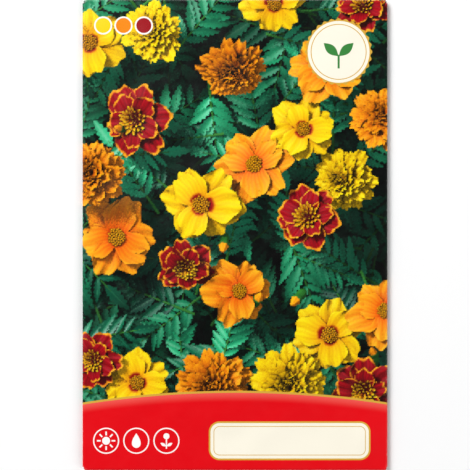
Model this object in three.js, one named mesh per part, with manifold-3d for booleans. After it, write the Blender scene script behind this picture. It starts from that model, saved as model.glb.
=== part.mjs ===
// A sealed paper seed packet, full of seed and lying on its back. Millimetres, +Z up.
//
// The packet is one printed sheet of coated paper. The sheet is folded at the packet's two long edges: the back
// panel laps over a narrow seam flap and is glued to it. The front panel's two end flaps then fold round to the
// back, where each is glued down. The seeds lie loose inside and swell the panels apart. The back panel is flat
// where the packet rests, and the packet's edges stand a little clear of the table.
//
// The origin is under the packet's middle, on the surface that it lies on. +Y points to the packet's top edge and
// +Z out of its printed front.
import * as THREE from "three";
import { mergeVertices } from "three/addons/utils/BufferGeometryUtils.js";
import Module from "manifold-3d";

// Driving dimensions.
const WIDTH = 81;
const HEIGHT = 125;
const PAPER = 0.12; // coated paper of about 120 g/m2
const GLUE_GAP = 0.07; // between two glued layers of paper
const GLUE_FILM = 0.03; // the adhesive in the middle of that gap
const SEAM_FLAP = 12; // the side flap, inside the back panel
const BACK_INSET = 1.2; // from the right-hand fold to the back panel's free edge
const TOP_FLAP = 16;
const BOTTOM_FLAP = 14;
const FLAP_TAPER = 3; // how far each end flap's side runs in by its free edge
const FLAP_CORNER = 3; // radius of an end flap's two free corners
const FLAP_START_INSET = 0.25; // an end flap is this much narrower than the front panel, each side
const END_CLEARANCE = 0.5; // from an end fold to the end of the back panel
const FOLD_GAP = 0.3; // free height left inside the tightest fold
const EDGE_LIFT = 0.9; // the folded edges stand this far off the table
const PILLOW = 1; // how far the trapped air and stiff folds raise the front panel in the middle
const HEAP = 1; // how much more the seed heap raises it
const HEAP_CENTRE = { x: -1, y: -13 };
const HEAP_REACH = { x: 24, y: 33 };
const REST_SHARE = 1.35; // how soon the back panel comes down flat: more makes the flat spot larger
const SIDE_POWER = 2; // how round the panels are from side to side
const END_POWER = 2.5; // and from end to end

// Levels at the folded edges, from the table up.
const seamFlapFoot = EDGE_LIFT + PAPER + GLUE_GAP;
const frontInner = seamFlapFoot + PAPER + FOLD_GAP;
const frontOuter = frontInner + PAPER;
const endFlapFoot = EDGE_LIFT - GLUE_GAP - PAPER;

// Outer radii of the three kinds of fold.
const leftRadius = (frontOuter - EDGE_LIFT) / 2;
const rightRadius = (frontOuter - seamFlapFoot) / 2;
const endRadius = (frontOuter - endFlapFoot) / 2;

// Where the folds begin.
const leftFold = -WIDTH / 2 + leftRadius;
const rightFold = WIDTH / 2 - rightRadius;
const endFold = HEIGHT / 2 - endRadius;
const backFreeEdge = WIDTH / 2 - BACK_INSET;
const seamFlapEdge = rightFold - SEAM_FLAP;

// The swell of the panels: 0 along every folded edge, 1 in the packet's middle.
function swell(x, y) {
  const across = 1 - (Math.abs(x) / -leftFold) ** SIDE_POWER;
  const along = 1 - (Math.abs(y) / endFold) ** END_POWER;
  return Math.max(0, across) * Math.max(0, along);
}

// The level of the front panel's inner face.
function frontLevel(x, y) {
  const dx = (x - HEAP_CENTRE.x) / HEAP_REACH.x;
  const dy = (y - HEAP_CENTRE.y) / HEAP_REACH.y;
  const heap = Math.exp(-dx * dx - dy * dy);
  return frontInner + swell(x, y) * (PILLOW + HEAP * heap);
}

// The level of the back panel's outer face.
function backLevel(x, y) {
  return EDGE_LIFT * (1 - Math.min(1, REST_SHARE * swell(x, y)));
}

// ---- The sheet, cut flat on a grid and folded column by column and row by row ----

// count + 1 evenly spaced numbers from a to b, or the steps after the first with skipFirst.
function steps(a, b, count, skipFirst = false) {
  const all = Array.from({ length: count + 1 }, (_, i) => a + ((b - a) * i) / count);
  return skipFirst ? all.slice(1) : all;
}

const FOLD_STEPS = 4;
const PANEL_COLUMNS = 14;
const PANEL_ROWS = 20;
const FLAP_ROWS = 3;
const CORNER_STEPS = 3;

// The seam's glue line, which the columns of both layers share so that their faces run alike.
const SEAM_GLUE_FROM_FLAP_EDGE = 1.5;
const SEAM_GLUE_FROM_BACK_EDGE = 0.8;
const SEAM_GLUE_STEPS = 2;
const ROWS_PAST_SEAM_GLUE = 2; // at each end of the panels
const seamGlueColumns = steps(
  backFreeEdge - SEAM_GLUE_FROM_BACK_EDGE,
  seamFlapEdge + SEAM_GLUE_FROM_FLAP_EDGE,
  SEAM_GLUE_STEPS,
);

// Across the sheet, from the back panel's free edge round to the seam flap's free edge.
const columns = [
  ...[backFreeEdge, ...seamGlueColumns, seamFlapEdge].map((x) => ({ zone: "back", x })),
  ...steps(seamFlapEdge, leftFold, PANEL_COLUMNS - 2, true).map((x) => ({ zone: "back", x })),
  ...steps(0, 1, FOLD_STEPS, true).slice(0, -1).map((turn) => ({ zone: "left fold", turn })),
  ...steps(leftFold, rightFold, PANEL_COLUMNS).map((x) => ({ zone: "front", x })),
  ...steps(0, 1, FOLD_STEPS, true).slice(0, -1).map((turn) => ({ zone: "right fold", turn })),
  ...[rightFold, ...seamGlueColumns, seamFlapEdge].map((x) => ({ zone: "seam flap", x })),
];

// The rows of one end of the sheet, from the front panel out: round the fold, and then over the flap to its free
// edge, closer together where the flap's corners are rounded.
function endRows(end, length) {
  const turns = steps(0, 1, FOLD_STEPS, true).slice(0, -1);
  const straight = steps(0, length - FLAP_CORNER, FLAP_ROWS);
  const cornerAngles = steps(0, Math.PI / 2, CORNER_STEPS, true);
  const corner = cornerAngles.map((angle) => length - FLAP_CORNER * (1 - Math.sin(angle)));
  return [
    ...turns.map((turn) => ({ zone: "end fold", end, turn, reach: 0, length })),
    ...[...straight, ...corner].map((reach) => ({ zone: "end flap", end, reach, length })),
  ];
}

// Along the sheet, from the top flap's free edge to the bottom flap's.
const panelEnd = endFold - END_CLEARANCE;
const panelRows = [endFold, ...steps(panelEnd, -panelEnd, PANEL_ROWS), -endFold];
const rows = [
  ...endRows(1, TOP_FLAP).reverse(),
  ...panelRows.map((y) => ({ zone: "panel", y })),
  ...endRows(-1, BOTTOM_FLAP),
];

// The half turn of a fold at share turn, as a direction: 0 points up and 1 points down.
function foldDirection(turn) {
  const angle = Math.PI * turn;
  return { out: Math.sin(angle), up: Math.cos(angle) };
}

// An end flap narrows from the fold to its free edge, and its corners there are rounded.
function flapX(x, reach, length) {
  const intoCorner = Math.max(0, reach - (length - FLAP_CORNER));
  const cornerInset = FLAP_CORNER - Math.sqrt(Math.max(0, FLAP_CORNER ** 2 - intoCorner ** 2));
  const half = rightFold - FLAP_START_INSET - (FLAP_TAPER * reach) / length - cornerInset;
  return (x / rightFold) * half;
}

// Where the corner of the grid at column and row lies, on the printed side of the folded sheet or on its inside.
function foldedPoint(column, row, printed) {
  const inset = printed ? 0 : PAPER;
  if (row.zone !== "panel") {
    const x = flapX(column.x, row.reach, row.length);
    if (row.zone === "end fold") {
      const { out, up } = foldDirection(row.turn);
      const radius = endRadius - inset;
      return [x, row.end * (endFold + radius * out), frontOuter - endRadius + radius * up];
    }
    const y = row.end * (endFold - row.reach);
    return [x, y, backLevel(x, y) - GLUE_GAP - PAPER + inset];
  }
  const y = row.y;
  if (column.zone === "front") return [column.x, y, frontLevel(column.x, y) + PAPER - inset];
  if (column.zone === "back") return [column.x, y, backLevel(column.x, y) + inset];
  if (column.zone === "seam flap") return [column.x, y, backLevel(column.x, y) + PAPER + GLUE_GAP + inset];
  const left = column.zone === "left fold";
  const { out, up } = foldDirection(left ? 1 - column.turn : column.turn);
  const outerRadius = left ? leftRadius : rightRadius;
  const radius = outerRadius - inset;
  const x = left ? leftFold - radius * out : rightFold + radius * out;
  return [x, y, frontOuter - outerRadius + radius * up];
}

// Only the front panel carries end flaps, and its last row at each end is the fold line, where the side panels,
// which are a little shorter, have already ended.
function inOutline(column, next, row, below) {
  const onFront = column.zone === "front" && next.zone === "front";
  const inPanelRows = row.zone === "panel" && below.zone === "panel";
  const inSideRows = inPanelRows && Math.abs(row.y) <= panelEnd && Math.abs(below.y) <= panelEnd;
  return onFront || inSideRows;
}

// A closed thin solid from the cells of a plane grid: both faces, and a wall along every open edge.
function thinSolid(columnCount, rowCount, keepsCell, pointOn) {
  const grid = new THREE.PlaneGeometry(1, 1, columnCount - 1, rowCount - 1);
  const count = grid.attributes.position.count;
  const positions = new Float32Array(count * 2 * 3);
  for (let i = 0; i < count; i++) {
    const column = i % columnCount;
    const row = Math.floor(i / columnCount);
    positions.set(pointOn(column, row, true), i * 3);
    positions.set(pointOn(column, row, false), (count + i) * 3);
  }
  const faces = [];
  const openEdges = new Map();
  for (let t = 0; t < grid.index.count; t += 3) {
    const corners = [0, 1, 2].map((k) => grid.index.getX(t + k));
    const column = Math.min(...corners.map((i) => i % columnCount));
    const row = Math.min(...corners.map((i) => Math.floor(i / columnCount)));
    if (!keepsCell(column, row)) continue;
    const [a, b, c] = corners;
    faces.push(a, b, c, count + c, count + b, count + a);
    for (const [from, to] of [[a, b], [b, c], [c, a]]) {
      const twin = `${to},${from}`;
      if (openEdges.has(twin)) openEdges.delete(twin);
      else openEdges.set(`${from},${to}`, [from, to]);
    }
  }
  for (const [from, to] of openEdges.values()) {
    faces.push(from, count + from, to, to, count + from, count + to);
  }
  const solid = new THREE.BufferGeometry();
  solid.setAttribute("position", new THREE.BufferAttribute(positions, 3));
  solid.setIndex(faces);
  return mergeVertices(solid);
}

function paperSheet() {
  return thinSolid(
    columns.length,
    rows.length,
    (i, j) => inOutline(columns[i], columns[i + 1], rows[j], rows[j + 1]),
    (i, j, printed) => (exists(columns[i], rows[j]) ? foldedPoint(columns[i], rows[j], printed) : [0, 0, 0]),
  );
}

// A grid corner that no kept cell can use has no place on the folded sheet.
function exists(column, row) {
  return column.zone === "front" || row.zone === "panel";
}

// ---- The glue lines: thin films in the middle of their gaps ----

const filmClearance = (GLUE_GAP - GLUE_FILM) / 2;

// A film over the grid of xs and ys. Its grid runs as the paper's does, with the table's side named first.
function glueFilm(xs, ys, footAt) {
  return thinSolid(
    xs.length,
    ys.length,
    () => true,
    (i, j, lower) => [xs[i], ys[j], footAt(xs[i], ys[j]) + filmClearance + (lower ? 0 : GLUE_FILM)],
  );
}

// Between the back panel and the seam flap. Its corners lie on the corners of the paper's own grid.
function seamGlue() {
  const ys = panelRows.slice(ROWS_PAST_SEAM_GLUE, -ROWS_PAST_SEAM_GLUE);
  return glueFilm(seamGlueColumns, ys, (x, y) => backLevel(x, y) + PAPER);
}

const FLAP_GLUE_MARGIN = 3; // from the flap's free edge and from the fold
const FLAP_GLUE_SIDE_MARGIN = 7; // from the packet's long edges
const FLAP_GLUE_COLUMNS = 12;
const FLAP_GLUE_ROWS = 3;

// Between the back panel and an end flap.
function flapGlue(end, length) {
  const halfWidth = WIDTH / 2 - FLAP_GLUE_SIDE_MARGIN;
  const xs = steps(halfWidth, -halfWidth, FLAP_GLUE_COLUMNS);
  const reaches = steps(FLAP_GLUE_MARGIN, length - FLAP_GLUE_MARGIN, FLAP_GLUE_ROWS);
  const ys = reaches.map((reach) => end * (endFold - reach)).sort((a, b) => b - a);
  return glueFilm(xs, ys, (x, y) => backLevel(x, y) - GLUE_GAP);
}

// ---- The seeds: slim achenes, each with a stiff tuft at its top, lying across one another in a low heap ----

const SEED_COUNT = 84;
const SEED_SIDES = 4;
const SEED_BODY = 5.4; // length of the dark body
const SEED_TUFT = 2.2; // length of the pale tuft
const SEED_LENGTH = SEED_BODY + SEED_TUFT;
const BODY_RADIUS = 0.38; // where the body is thickest
const NECK_RADIUS = 0.3; // where the tuft begins
const TUFT_RADIUS = 0.46; // where the tuft is widest
const THICKEST_AT = 2.4; // from the body's pointed foot
const TUFT_WIDEST_AT = 7.4;
const LAYER_RISE = 0.42; // less than a seed is thick, so that crossing seeds join
const PAPER_CLEARANCE = 0.12; // from the seeds to the paper round them
const SEED_SPACING = 5.2; // between the middles of two seeds in one layer
const CROSSING_REACH = 0.28; // a seed crosses another within this share of its length from its middle
const CROSSING_TURN = { least: 0.3 * Math.PI, most: 0.7 * Math.PI };
const FIRST_SEED_TURN = 0.4; // radians
const HEAP_DRAW = 11; // which of the many possible heaps this is
const ROUNDING = 1e-6;

// A small seeded generator, so that the heap is the same every time.
function randomNumbers(seed) {
  let state = seed;
  return () => {
    state = (Math.imul(state, 1664525) + 1013904223) >>> 0;
    return state / 2 ** 32;
  };
}

// One seed along X, its middle at the origin.
function seedGeometry() {
  const profile = [
    [0, 0],
    [BODY_RADIUS, THICKEST_AT],
    [NECK_RADIUS, SEED_BODY],
    [TUFT_RADIUS, TUFT_WIDEST_AT],
    [0, SEED_LENGTH],
  ];
  const points = profile.map(([radius, along]) => new THREE.Vector2(radius, along - SEED_LENGTH / 2));
  return new THREE.LatheGeometry(points, SEED_SIDES).rotateZ(-Math.PI / 2);
}

function pointAlong(seed, distance) {
  return {
    x: seed.x + distance * Math.cos(seed.turn),
    y: seed.y + distance * Math.sin(seed.turn),
  };
}

function seedLevel(layer) {
  return PAPER + PAPER_CLEARANCE + TUFT_RADIUS + layer * LAYER_RISE;
}

// How far out in the heap a seed lies: 0 in the middle and 1 at the edge.
function shareOut(seed) {
  return Math.hypot((seed.x - HEAP_CENTRE.x) / HEAP_REACH.x, (seed.y - HEAP_CENTRE.y) / HEAP_REACH.y);
}

// True if the seed lies inside the heap and clear of the paper, tested at its ends and middle.
function fitsInside(seed) {
  const reach = TUFT_RADIUS + PAPER_CLEARANCE;
  const level = seedLevel(seed.layer);
  const clearOfPaper = [-0.5, 0, 0.5].every((share) => {
    const { x, y } = pointAlong(seed, share * SEED_LENGTH);
    return level >= backLevel(x, y) + PAPER + reach - ROUNDING && level <= frontLevel(x, y) - reach;
  });
  return shareOut(seed) < 1 && clearOfPaper;
}

function hasRoom(seed, heap) {
  return heap.every((other) => {
    const apart = Math.hypot(other.x - seed.x, other.y - seed.y);
    return other.layer !== seed.layer || apart > SEED_SPACING;
  });
}

// The heap grows outwards from one seed in its middle. Each later seed lies over or under one that is there
// already: the outer one of two drawn at random, so that the heap spreads.
function seedPlaces() {
  const random = randomNumbers(HEAP_DRAW);
  const between = (least, most) => least + (most - least) * random();
  const heap = [{ ...HEAP_CENTRE, turn: FIRST_SEED_TURN, layer: 0 }];
  while (heap.length < SEED_COUNT) {
    const drawn = [1, 2].map(() => heap[Math.floor(random() * heap.length)]);
    const host = shareOut(drawn[0]) > shareOut(drawn[1]) ? drawn[0] : drawn[1];
    const crossing = pointAlong(host, between(-1, 1) * CROSSING_REACH * SEED_LENGTH);
    const turn = host.turn + between(CROSSING_TURN.least, CROSSING_TURN.most);
    const slide = between(-1, 1) * CROSSING_REACH * SEED_LENGTH;
    const layer = Math.max(0, host.layer + (random() < 0.5 ? -1 : 1));
    const seed = { ...pointAlong({ ...crossing, turn }, slide), turn, layer };
    if (fitsInside(seed) && hasRoom(seed, heap)) heap.push(seed);
  }
  return heap;
}

function solidFrom(wasm, geometry) {
  const bare = geometry.clone();
  bare.deleteAttribute("normal");
  bare.deleteAttribute("uv");
  const merged = mergeVertices(bare);
  const mesh = new wasm.Mesh({
    numProp: 3,
    vertProperties: new Float32Array(merged.attributes.position.array),
    triVerts: new Uint32Array(merged.index.array),
  });
  return new wasm.Manifold(mesh);
}

function geometryFrom(solid) {
  const mesh = solid.getMesh();
  const geometry = new THREE.BufferGeometry();
  geometry.setAttribute("position", new THREE.BufferAttribute(new Float32Array(mesh.vertProperties), 3));
  geometry.setIndex(new THREE.BufferAttribute(new Uint32Array(mesh.triVerts), 1));
  return geometry;
}

// All the seeds, joined where they cross.
async function seedHeap() {
  const wasm = await Module();
  wasm.setup();
  const seeds = seedPlaces().map(({ x, y, turn, layer }) => {
    const matrix = new THREE.Matrix4().makeRotationZ(turn).setPosition(x, y, seedLevel(layer));
    return solidFrom(wasm, seedGeometry().applyMatrix4(matrix));
  });
  return geometryFrom(seeds.reduce((heap, seed) => heap.add(seed)));
}

// ---- Materials and the finished packet ----

const printedPaper = new THREE.MeshStandardMaterial({ color: 0xe30514, roughness: 0.45, metalness: 0 });
const adhesive = new THREE.MeshStandardMaterial({ color: 0xe9e2c8, roughness: 0.4, metalness: 0 });
const seedHusk = new THREE.MeshStandardMaterial({ color: 0x2a211c, roughness: 0.8, metalness: 0 });

function named(name, geometry, material) {
  const mesh = new THREE.Mesh(geometry, material);
  mesh.name = name;
  return mesh;
}

const packet = new THREE.Group();
packet.add(named("folded_paper_sheet", paperSheet(), printedPaper));
packet.add(named("side_seam_glue", seamGlue(), adhesive));
packet.add(named("top_flap_glue", flapGlue(1, TOP_FLAP), adhesive));
packet.add(named("bottom_flap_glue", flapGlue(-1, BOTTOM_FLAP), adhesive));
packet.add(named("seeds", await seedHeap(), seedHusk));

export default packet;
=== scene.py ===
# %% [markdown]
# # A paper seed packet
#
# The object is a small sealed packet that garden seeds are sold in. It is one sheet of coated paper,
# printed on its outside, cut to an outline with flaps, folded, glued and filled. Its front shows a bed of
# blooms above a red band.
#
# The lesson follows the factory. The sheet is cut flat, printed flat, and only then folded, so the print
# runs round the folds just as real ink does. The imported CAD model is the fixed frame: it gives the packet's
# size and place.

# %% Load the frame
import math

import bmesh
import bpy
import numpy as np
from mathutils import Matrix, Vector
from mathutils.bvhtree import BVHTree


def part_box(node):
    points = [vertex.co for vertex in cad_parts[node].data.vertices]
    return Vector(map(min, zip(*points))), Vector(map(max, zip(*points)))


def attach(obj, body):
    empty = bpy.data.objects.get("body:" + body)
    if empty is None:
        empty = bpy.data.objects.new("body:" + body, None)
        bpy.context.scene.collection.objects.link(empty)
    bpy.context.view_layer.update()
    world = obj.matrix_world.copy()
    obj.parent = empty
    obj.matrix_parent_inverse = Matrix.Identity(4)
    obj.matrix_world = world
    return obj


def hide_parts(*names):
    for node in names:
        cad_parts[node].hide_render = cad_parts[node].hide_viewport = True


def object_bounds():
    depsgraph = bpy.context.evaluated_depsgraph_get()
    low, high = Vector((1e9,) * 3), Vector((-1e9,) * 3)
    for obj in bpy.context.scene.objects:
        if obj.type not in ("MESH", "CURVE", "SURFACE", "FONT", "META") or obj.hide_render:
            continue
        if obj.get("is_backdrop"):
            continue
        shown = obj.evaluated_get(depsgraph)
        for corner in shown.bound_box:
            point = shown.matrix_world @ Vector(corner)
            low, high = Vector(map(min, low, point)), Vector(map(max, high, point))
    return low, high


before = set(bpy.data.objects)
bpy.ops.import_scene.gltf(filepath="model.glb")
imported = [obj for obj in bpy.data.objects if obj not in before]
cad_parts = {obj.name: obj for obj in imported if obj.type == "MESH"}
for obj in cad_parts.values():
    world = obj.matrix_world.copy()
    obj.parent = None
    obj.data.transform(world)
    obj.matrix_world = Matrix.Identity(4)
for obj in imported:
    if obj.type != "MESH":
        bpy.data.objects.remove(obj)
cad_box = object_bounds()


def show_box(name, box):
    print(name, "spans", [[round(value, 5) for value in corner] for corner in box])


show_box("the packed model", cad_box)

# %% [markdown]
# ## Sizes
#
# Blender's unit is the metre, but a packet maker thinks in millimetres. All the flat work is done in
# millimetres and is scaled once, when the sheet is folded. The packet's width and height come from the
# frame. The paper, the gaps and the flaps are the packet's own sizes, the same as in the CAD model.

# %% Sizes of the packet, in millimetres
MM = 0.001
SHEET_NODE = "folded_paper_sheet"
SEEDS_NODE = "seeds"
sheet_low, sheet_high = (np.array(corner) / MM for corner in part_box(SHEET_NODE))
WIDTH, HEIGHT = (sheet_high - sheet_low)[:2]
PAPER = 0.12
GLUE_GAP = 0.07  # between two glued layers of paper
FOLD_GAP = 0.3  # free height left inside the tightest fold
EDGE_LIFT = 0.9  # the folded edges stand this far off the table
SEAM_FLAP = 12  # the side flap, inside the back panel
BACK_INSET = 1.2  # from the packet's right-hand edge to the back panel's free edge
TOP_FLAP = 16
BOTTOM_FLAP = 14
FLAP_TAPER = 3  # how far each end flap's side runs in by its free edge
FLAP_CORNER = 3  # radius of an end flap's two free corners
FLAP_START_INSET = 0.25  # an end flap is this much narrower than the front panel, each side
END_CLEARANCE = 0.5  # from an end fold to the end of the back panel
print(f"the packet is {WIDTH:.1f} mm wide and {HEIGHT:.1f} mm tall, from paper {PAPER} mm thick")

# %% Levels and radii at the folds
seam_flap_foot = EDGE_LIFT + PAPER + GLUE_GAP
front_edge = seam_flap_foot + PAPER + FOLD_GAP + PAPER
left_radius = (front_edge - EDGE_LIFT) / 2
right_radius = (front_edge - seam_flap_foot) / 2
end_radius = (front_edge - EDGE_LIFT + GLUE_GAP + PAPER) / 2
left_fold = -WIDTH / 2 + left_radius
right_fold = WIDTH / 2 - right_radius
end_fold = HEIGHT / 2 - end_radius
panel_end = end_fold - END_CLEARANCE


def fold_length(radius):
    """The paper that a half turn takes up, measured in the middle of its thickness."""
    return math.pi * (radius - PAPER / 2)


left_length, right_length, end_length = map(fold_length, (left_radius, right_radius, end_radius))
left_fold_end = left_fold - left_length
right_fold_end = right_fold + right_length
top_fold_end = end_fold + end_length
back_free_edge = left_fold_end - (WIDTH / 2 - BACK_INSET - left_fold)
seam_free_edge = right_fold_end + SEAM_FLAP
top_free_edge = top_fold_end + TOP_FLAP
bottom_free_edge = -top_fold_end - BOTTOM_FLAP
sheet_width, sheet_height = seam_free_edge - back_free_edge, top_free_edge - bottom_free_edge
print(f"the flat sheet is {sheet_width:.1f} x {sheet_height:.1f} mm")

# %% [markdown]
# ## Cut the sheet
#
# A flat sheet could be drawn corner by corner. A grid is better here, because the sheet has to bend later:
# `create_grid` gives the faces, and each row and column of its vertices is then moved to a station. The
# stations lie close together where the paper folds, and wide apart where it stays nearly flat. Faces
# outside the outline are waste and are deleted, and `solidify` gives the sheet its thickness.
#
# Across the sheet lie the back panel, a fold, the front panel, a fold and the narrow seam flap. Only the
# front panel runs on, past the end folds, into the two end flaps.

# %% Stations of the sheet
PANEL_STEP = 1.7
FOLD_STEPS = 5
CORNER_STEPS = 5


def stations(*stretches):
    """Stations along stretches of (start, end, count), each one starting where the last one stopped."""
    runs = [np.linspace(start, end, count + 1)[1:] for start, end, count in stretches]
    return np.concatenate([[stretches[0][0]], *runs])


def panel_count(length):
    return max(1, round(abs(length) / PANEL_STEP))


def flap_rows(fold, free_edge):
    """Rows of an end flap, from its fold outwards, closer together where its free corners are rounded."""
    side = math.copysign(1, free_edge)
    corner_start = free_edge - side * FLAP_CORNER
    straight = np.linspace(fold, corner_start, panel_count(corner_start - fold) + 1)
    turn = np.linspace(0, math.pi / 2, CORNER_STEPS + 1)
    return np.concatenate([straight[1:], corner_start + side * FLAP_CORNER * np.sin(turn[1:])])


across = stations(
    (back_free_edge, left_fold_end, panel_count(left_fold_end - back_free_edge)),
    (left_fold_end, left_fold, FOLD_STEPS),
    (left_fold, right_fold, panel_count(right_fold - left_fold)),
    (right_fold, right_fold_end, FOLD_STEPS),
    (right_fold_end, seam_free_edge, panel_count(SEAM_FLAP)),
)
between_flaps = stations(
    (-top_fold_end, -end_fold, FOLD_STEPS),
    (-end_fold, -panel_end, 1),
    (-panel_end, panel_end, panel_count(2 * panel_end)),
    (panel_end, end_fold, 1),
    (end_fold, top_fold_end, FOLD_STEPS),
)
bottom_rows, top_rows = flap_rows(-top_fold_end, bottom_free_edge), flap_rows(top_fold_end, top_free_edge)
along = np.concatenate([bottom_rows[::-1], between_flaps, top_rows])
print(len(across), "stations across and", len(along), "along")

# %% Cut the outline from a grid
sheet = bmesh.new()
columns, rows = len(across) - 1, len(along) - 1
bmesh.ops.create_grid(sheet, x_segments=columns, y_segments=rows, size=1)
for vertex in sheet.verts:
    vertex.co.x = across[round((vertex.co.x + 1) / 2 * columns)]
    vertex.co.y = along[round((vertex.co.y + 1) / 2 * rows)]


def is_waste(face):
    middle = face.calc_center_median()
    beside_front = not left_fold < middle.x < right_fold
    return beside_front and abs(middle.y) > panel_end


waste = [face for face in sheet.faces if is_waste(face)]
bmesh.ops.delete(sheet, geom=waste, context="FACES")
print("the outline keeps", len(sheet.faces), "faces and drops", len(waste))

# %% Taper the end flaps and round their free corners
ROUNDING = 1e-6  # lengths that differ by no more than this are equal


def flap_half_width(reach, length):
    """Half the width of an end flap, at a reach from its fold. Its free corners are rounded."""
    half = right_fold - FLAP_START_INSET - FLAP_TAPER * reach / length
    into_corner = max(0, reach - (length - FLAP_CORNER))
    return half - FLAP_CORNER + math.sqrt(FLAP_CORNER**2 - into_corner**2)


for vertex in sheet.verts:
    past_fold = abs(vertex.co.y) - end_fold
    if past_fold > ROUNDING:
        length = TOP_FLAP if vertex.co.y > 0 else BOTTOM_FLAP
        reach = min(length, max(0, past_fold - end_length))
        vertex.co.x *= flap_half_width(reach, length) / right_fold

bmesh.ops.solidify(sheet, geom=sheet.faces[:], thickness=PAPER)
bmesh.ops.recalc_face_normals(sheet, faces=sheet.faces[:])
sheet_top = max(vertex.co.z for vertex in sheet.verts)
for vertex in sheet.verts:
    vertex.co.z -= sheet_top
print(f"the cut sheet is {-min(vertex.co.z for vertex in sheet.verts):.2f} mm thick")

# %% [markdown]
# ## Make room for the picture
#
# The picture is stored as a colour at each corner of the front's faces, so these have to be small. Only the
# printed side of the front, with its folds, is divided. The inside and the back stay coarse, because they
# hold no picture.

# %% Divide the printed side of the front
PICTURE_CUTS = 3
SAME_PLACE = 1e-4  # points nearer to each other than this are one point


def is_printed(face):
    return face.normal.z > 0.5


def holds_picture(face):
    """True for a face of the printed side that lies on the front or on one of its folds."""
    middle = face.calc_center_median()
    inside = left_fold_end < middle.x < right_fold_end and abs(middle.y) < top_fold_end
    return is_printed(face) and inside


def crosses_a_fold(edge):
    """True for an edge that lies inside a fold and runs round it, which has enough steps already."""
    first, second = (vertex.co for vertex in edge.verts)
    middle = (first + second) / 2
    beside = not left_fold - SAME_PLACE < middle.x < right_fold + SAME_PLACE
    beyond = abs(middle.y) > end_fold + SAME_PLACE
    runs_across = abs(first.y - second.y) < SAME_PLACE
    return (beside and runs_across) or (beyond and not runs_across)


picture_edges = {edge for face in sheet.faces if holds_picture(face) for edge in face.edges}
picture_edges = [edge for edge in picture_edges if not crosses_a_fold(edge)]
picture_edges.sort(key=lambda edge: edge.index)
bmesh.ops.subdivide_edges(sheet, edges=picture_edges, cuts=PICTURE_CUTS, use_grid_fill=True)
print("the sheet now has", len(sheet.faces), "faces")

# %% Mark the printed side and store each place on the flat sheet
SHEET_SPAN = 200
PRINTED_SLOT, STOCK_SLOT = 0, 1
dieline = sheet.loops.layers.uv.new("dieline")
for face in sheet.faces:
    face.smooth = True
    face.material_index = PRINTED_SLOT if is_printed(face) else STOCK_SLOT
    for loop in face.loops:
        loop[dieline].uv = [(value + SHEET_SPAN / 2) / SHEET_SPAN for value in loop.vert.co.xy]
print("the dieline map is", SHEET_SPAN, "mm wide, and the front's middle is in its middle")

# %% [markdown]
# A second map is for programs that paint colours into an image. There no two faces may share a place. The
# printed side gets nearly the whole map, a cut edge is laid just outside the outline, and the plain inside
# is squeezed into the strip that is left over.

# %% A map with room for every face
BAKE_SPAN = 176
BAKE_MARGIN = 0.8
EDGE_SHOWN = 0.5
INSIDE_SQUEEZE = 0.09
bake_map = sheet.loops.layers.uv.new("OFBake")
inside_start = sheet_height + 3 * BAKE_MARGIN
for face in sheet.faces:
    is_inside = face.normal.z < -0.5
    for loop in face.loops:
        place = loop.vert.co
        outwards = face.normal * (-place.z / PAPER * EDGE_SHOWN)
        u = place.x + outwards.x - back_free_edge + BAKE_MARGIN
        v = place.y + outwards.y - bottom_free_edge + BAKE_MARGIN
        if is_inside:
            v = inside_start + v * INSIDE_SQUEEZE
        loop[bake_map].uv = (u / BAKE_SPAN, v / BAKE_SPAN)
bake_top = max(loop[bake_map].uv.y for face in sheet.faces for loop in face.loops)
print(f"the bake map is filled up to {bake_top:.3f}")

# %% The flat mesh
def mesh_from(form, name):
    """Writes a bmesh into a new mesh and frees it."""
    mesh = bpy.data.meshes.new(name)
    form.to_mesh(mesh)
    form.free()
    return mesh


sheet_mesh = mesh_from(sheet, "paper_sheet")
print("the mesh has", len(sheet_mesh.vertices), "vertices and", len(sheet_mesh.loops), "face corners")

# %% [markdown]
# ## A bed of blooms to photograph
#
# The front of a seed packet carries a photograph. There is no picture file here, so the script plants a
# small bed of blooms in memory and looks straight down on it. The bed is never part of the scene. It exists
# only as arrays of points, which is much faster than hundreds of Blender objects.
#
# Every petal and leaf starts as the same kind of thing: a small grid, taken from `create_grid`, whose
# points are then bent by a formula. `u` runs from 0 at a petal's foot to 1 at its tip and `v` from -1 to 1
# across it.

# %% A grid of points for a petal or a leaf
draw = np.random.default_rng(5)
grid_faces = {}


def grid_triangles(rows_of_points, points_in_row):
    """The triangles of a grid, as numbers of its points counted row by row. Made once for each size."""
    size = (rows_of_points, points_in_row)
    if size not in grid_faces:
        grid = bmesh.new()
        bmesh.ops.create_grid(grid, x_segments=points_in_row - 1, y_segments=rows_of_points - 1, size=1)
        bmesh.ops.triangulate(grid, faces=grid.faces[:])
        order = sorted(grid.verts, key=lambda vertex: (round(vertex.co.y, 5), vertex.co.x))
        number = {vertex: place for place, vertex in enumerate(order)}
        grid_faces[size] = np.array([[number[vertex] for vertex in face.verts] for face in grid.faces])
        grid.free()
    return grid_faces[size]


def uv_grid(rows_of_points, points_in_row):
    u, v = np.meshgrid(np.linspace(0, 1, rows_of_points), np.linspace(-1, 1, points_in_row), indexing="ij")
    return u, v


print("a 9 x 10 petal has", len(grid_triangles(9, 10)), "triangles")

# %% The bed collects patches
NO_LENGTH = 1e-9
patches = []


def unit(vectors, guard=0.0):
    """The same directions with a length of 1. The guard is for vectors that may have no length."""
    return vectors / (np.linalg.norm(vectors, axis=-1, keepdims=True) + guard)


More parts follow.
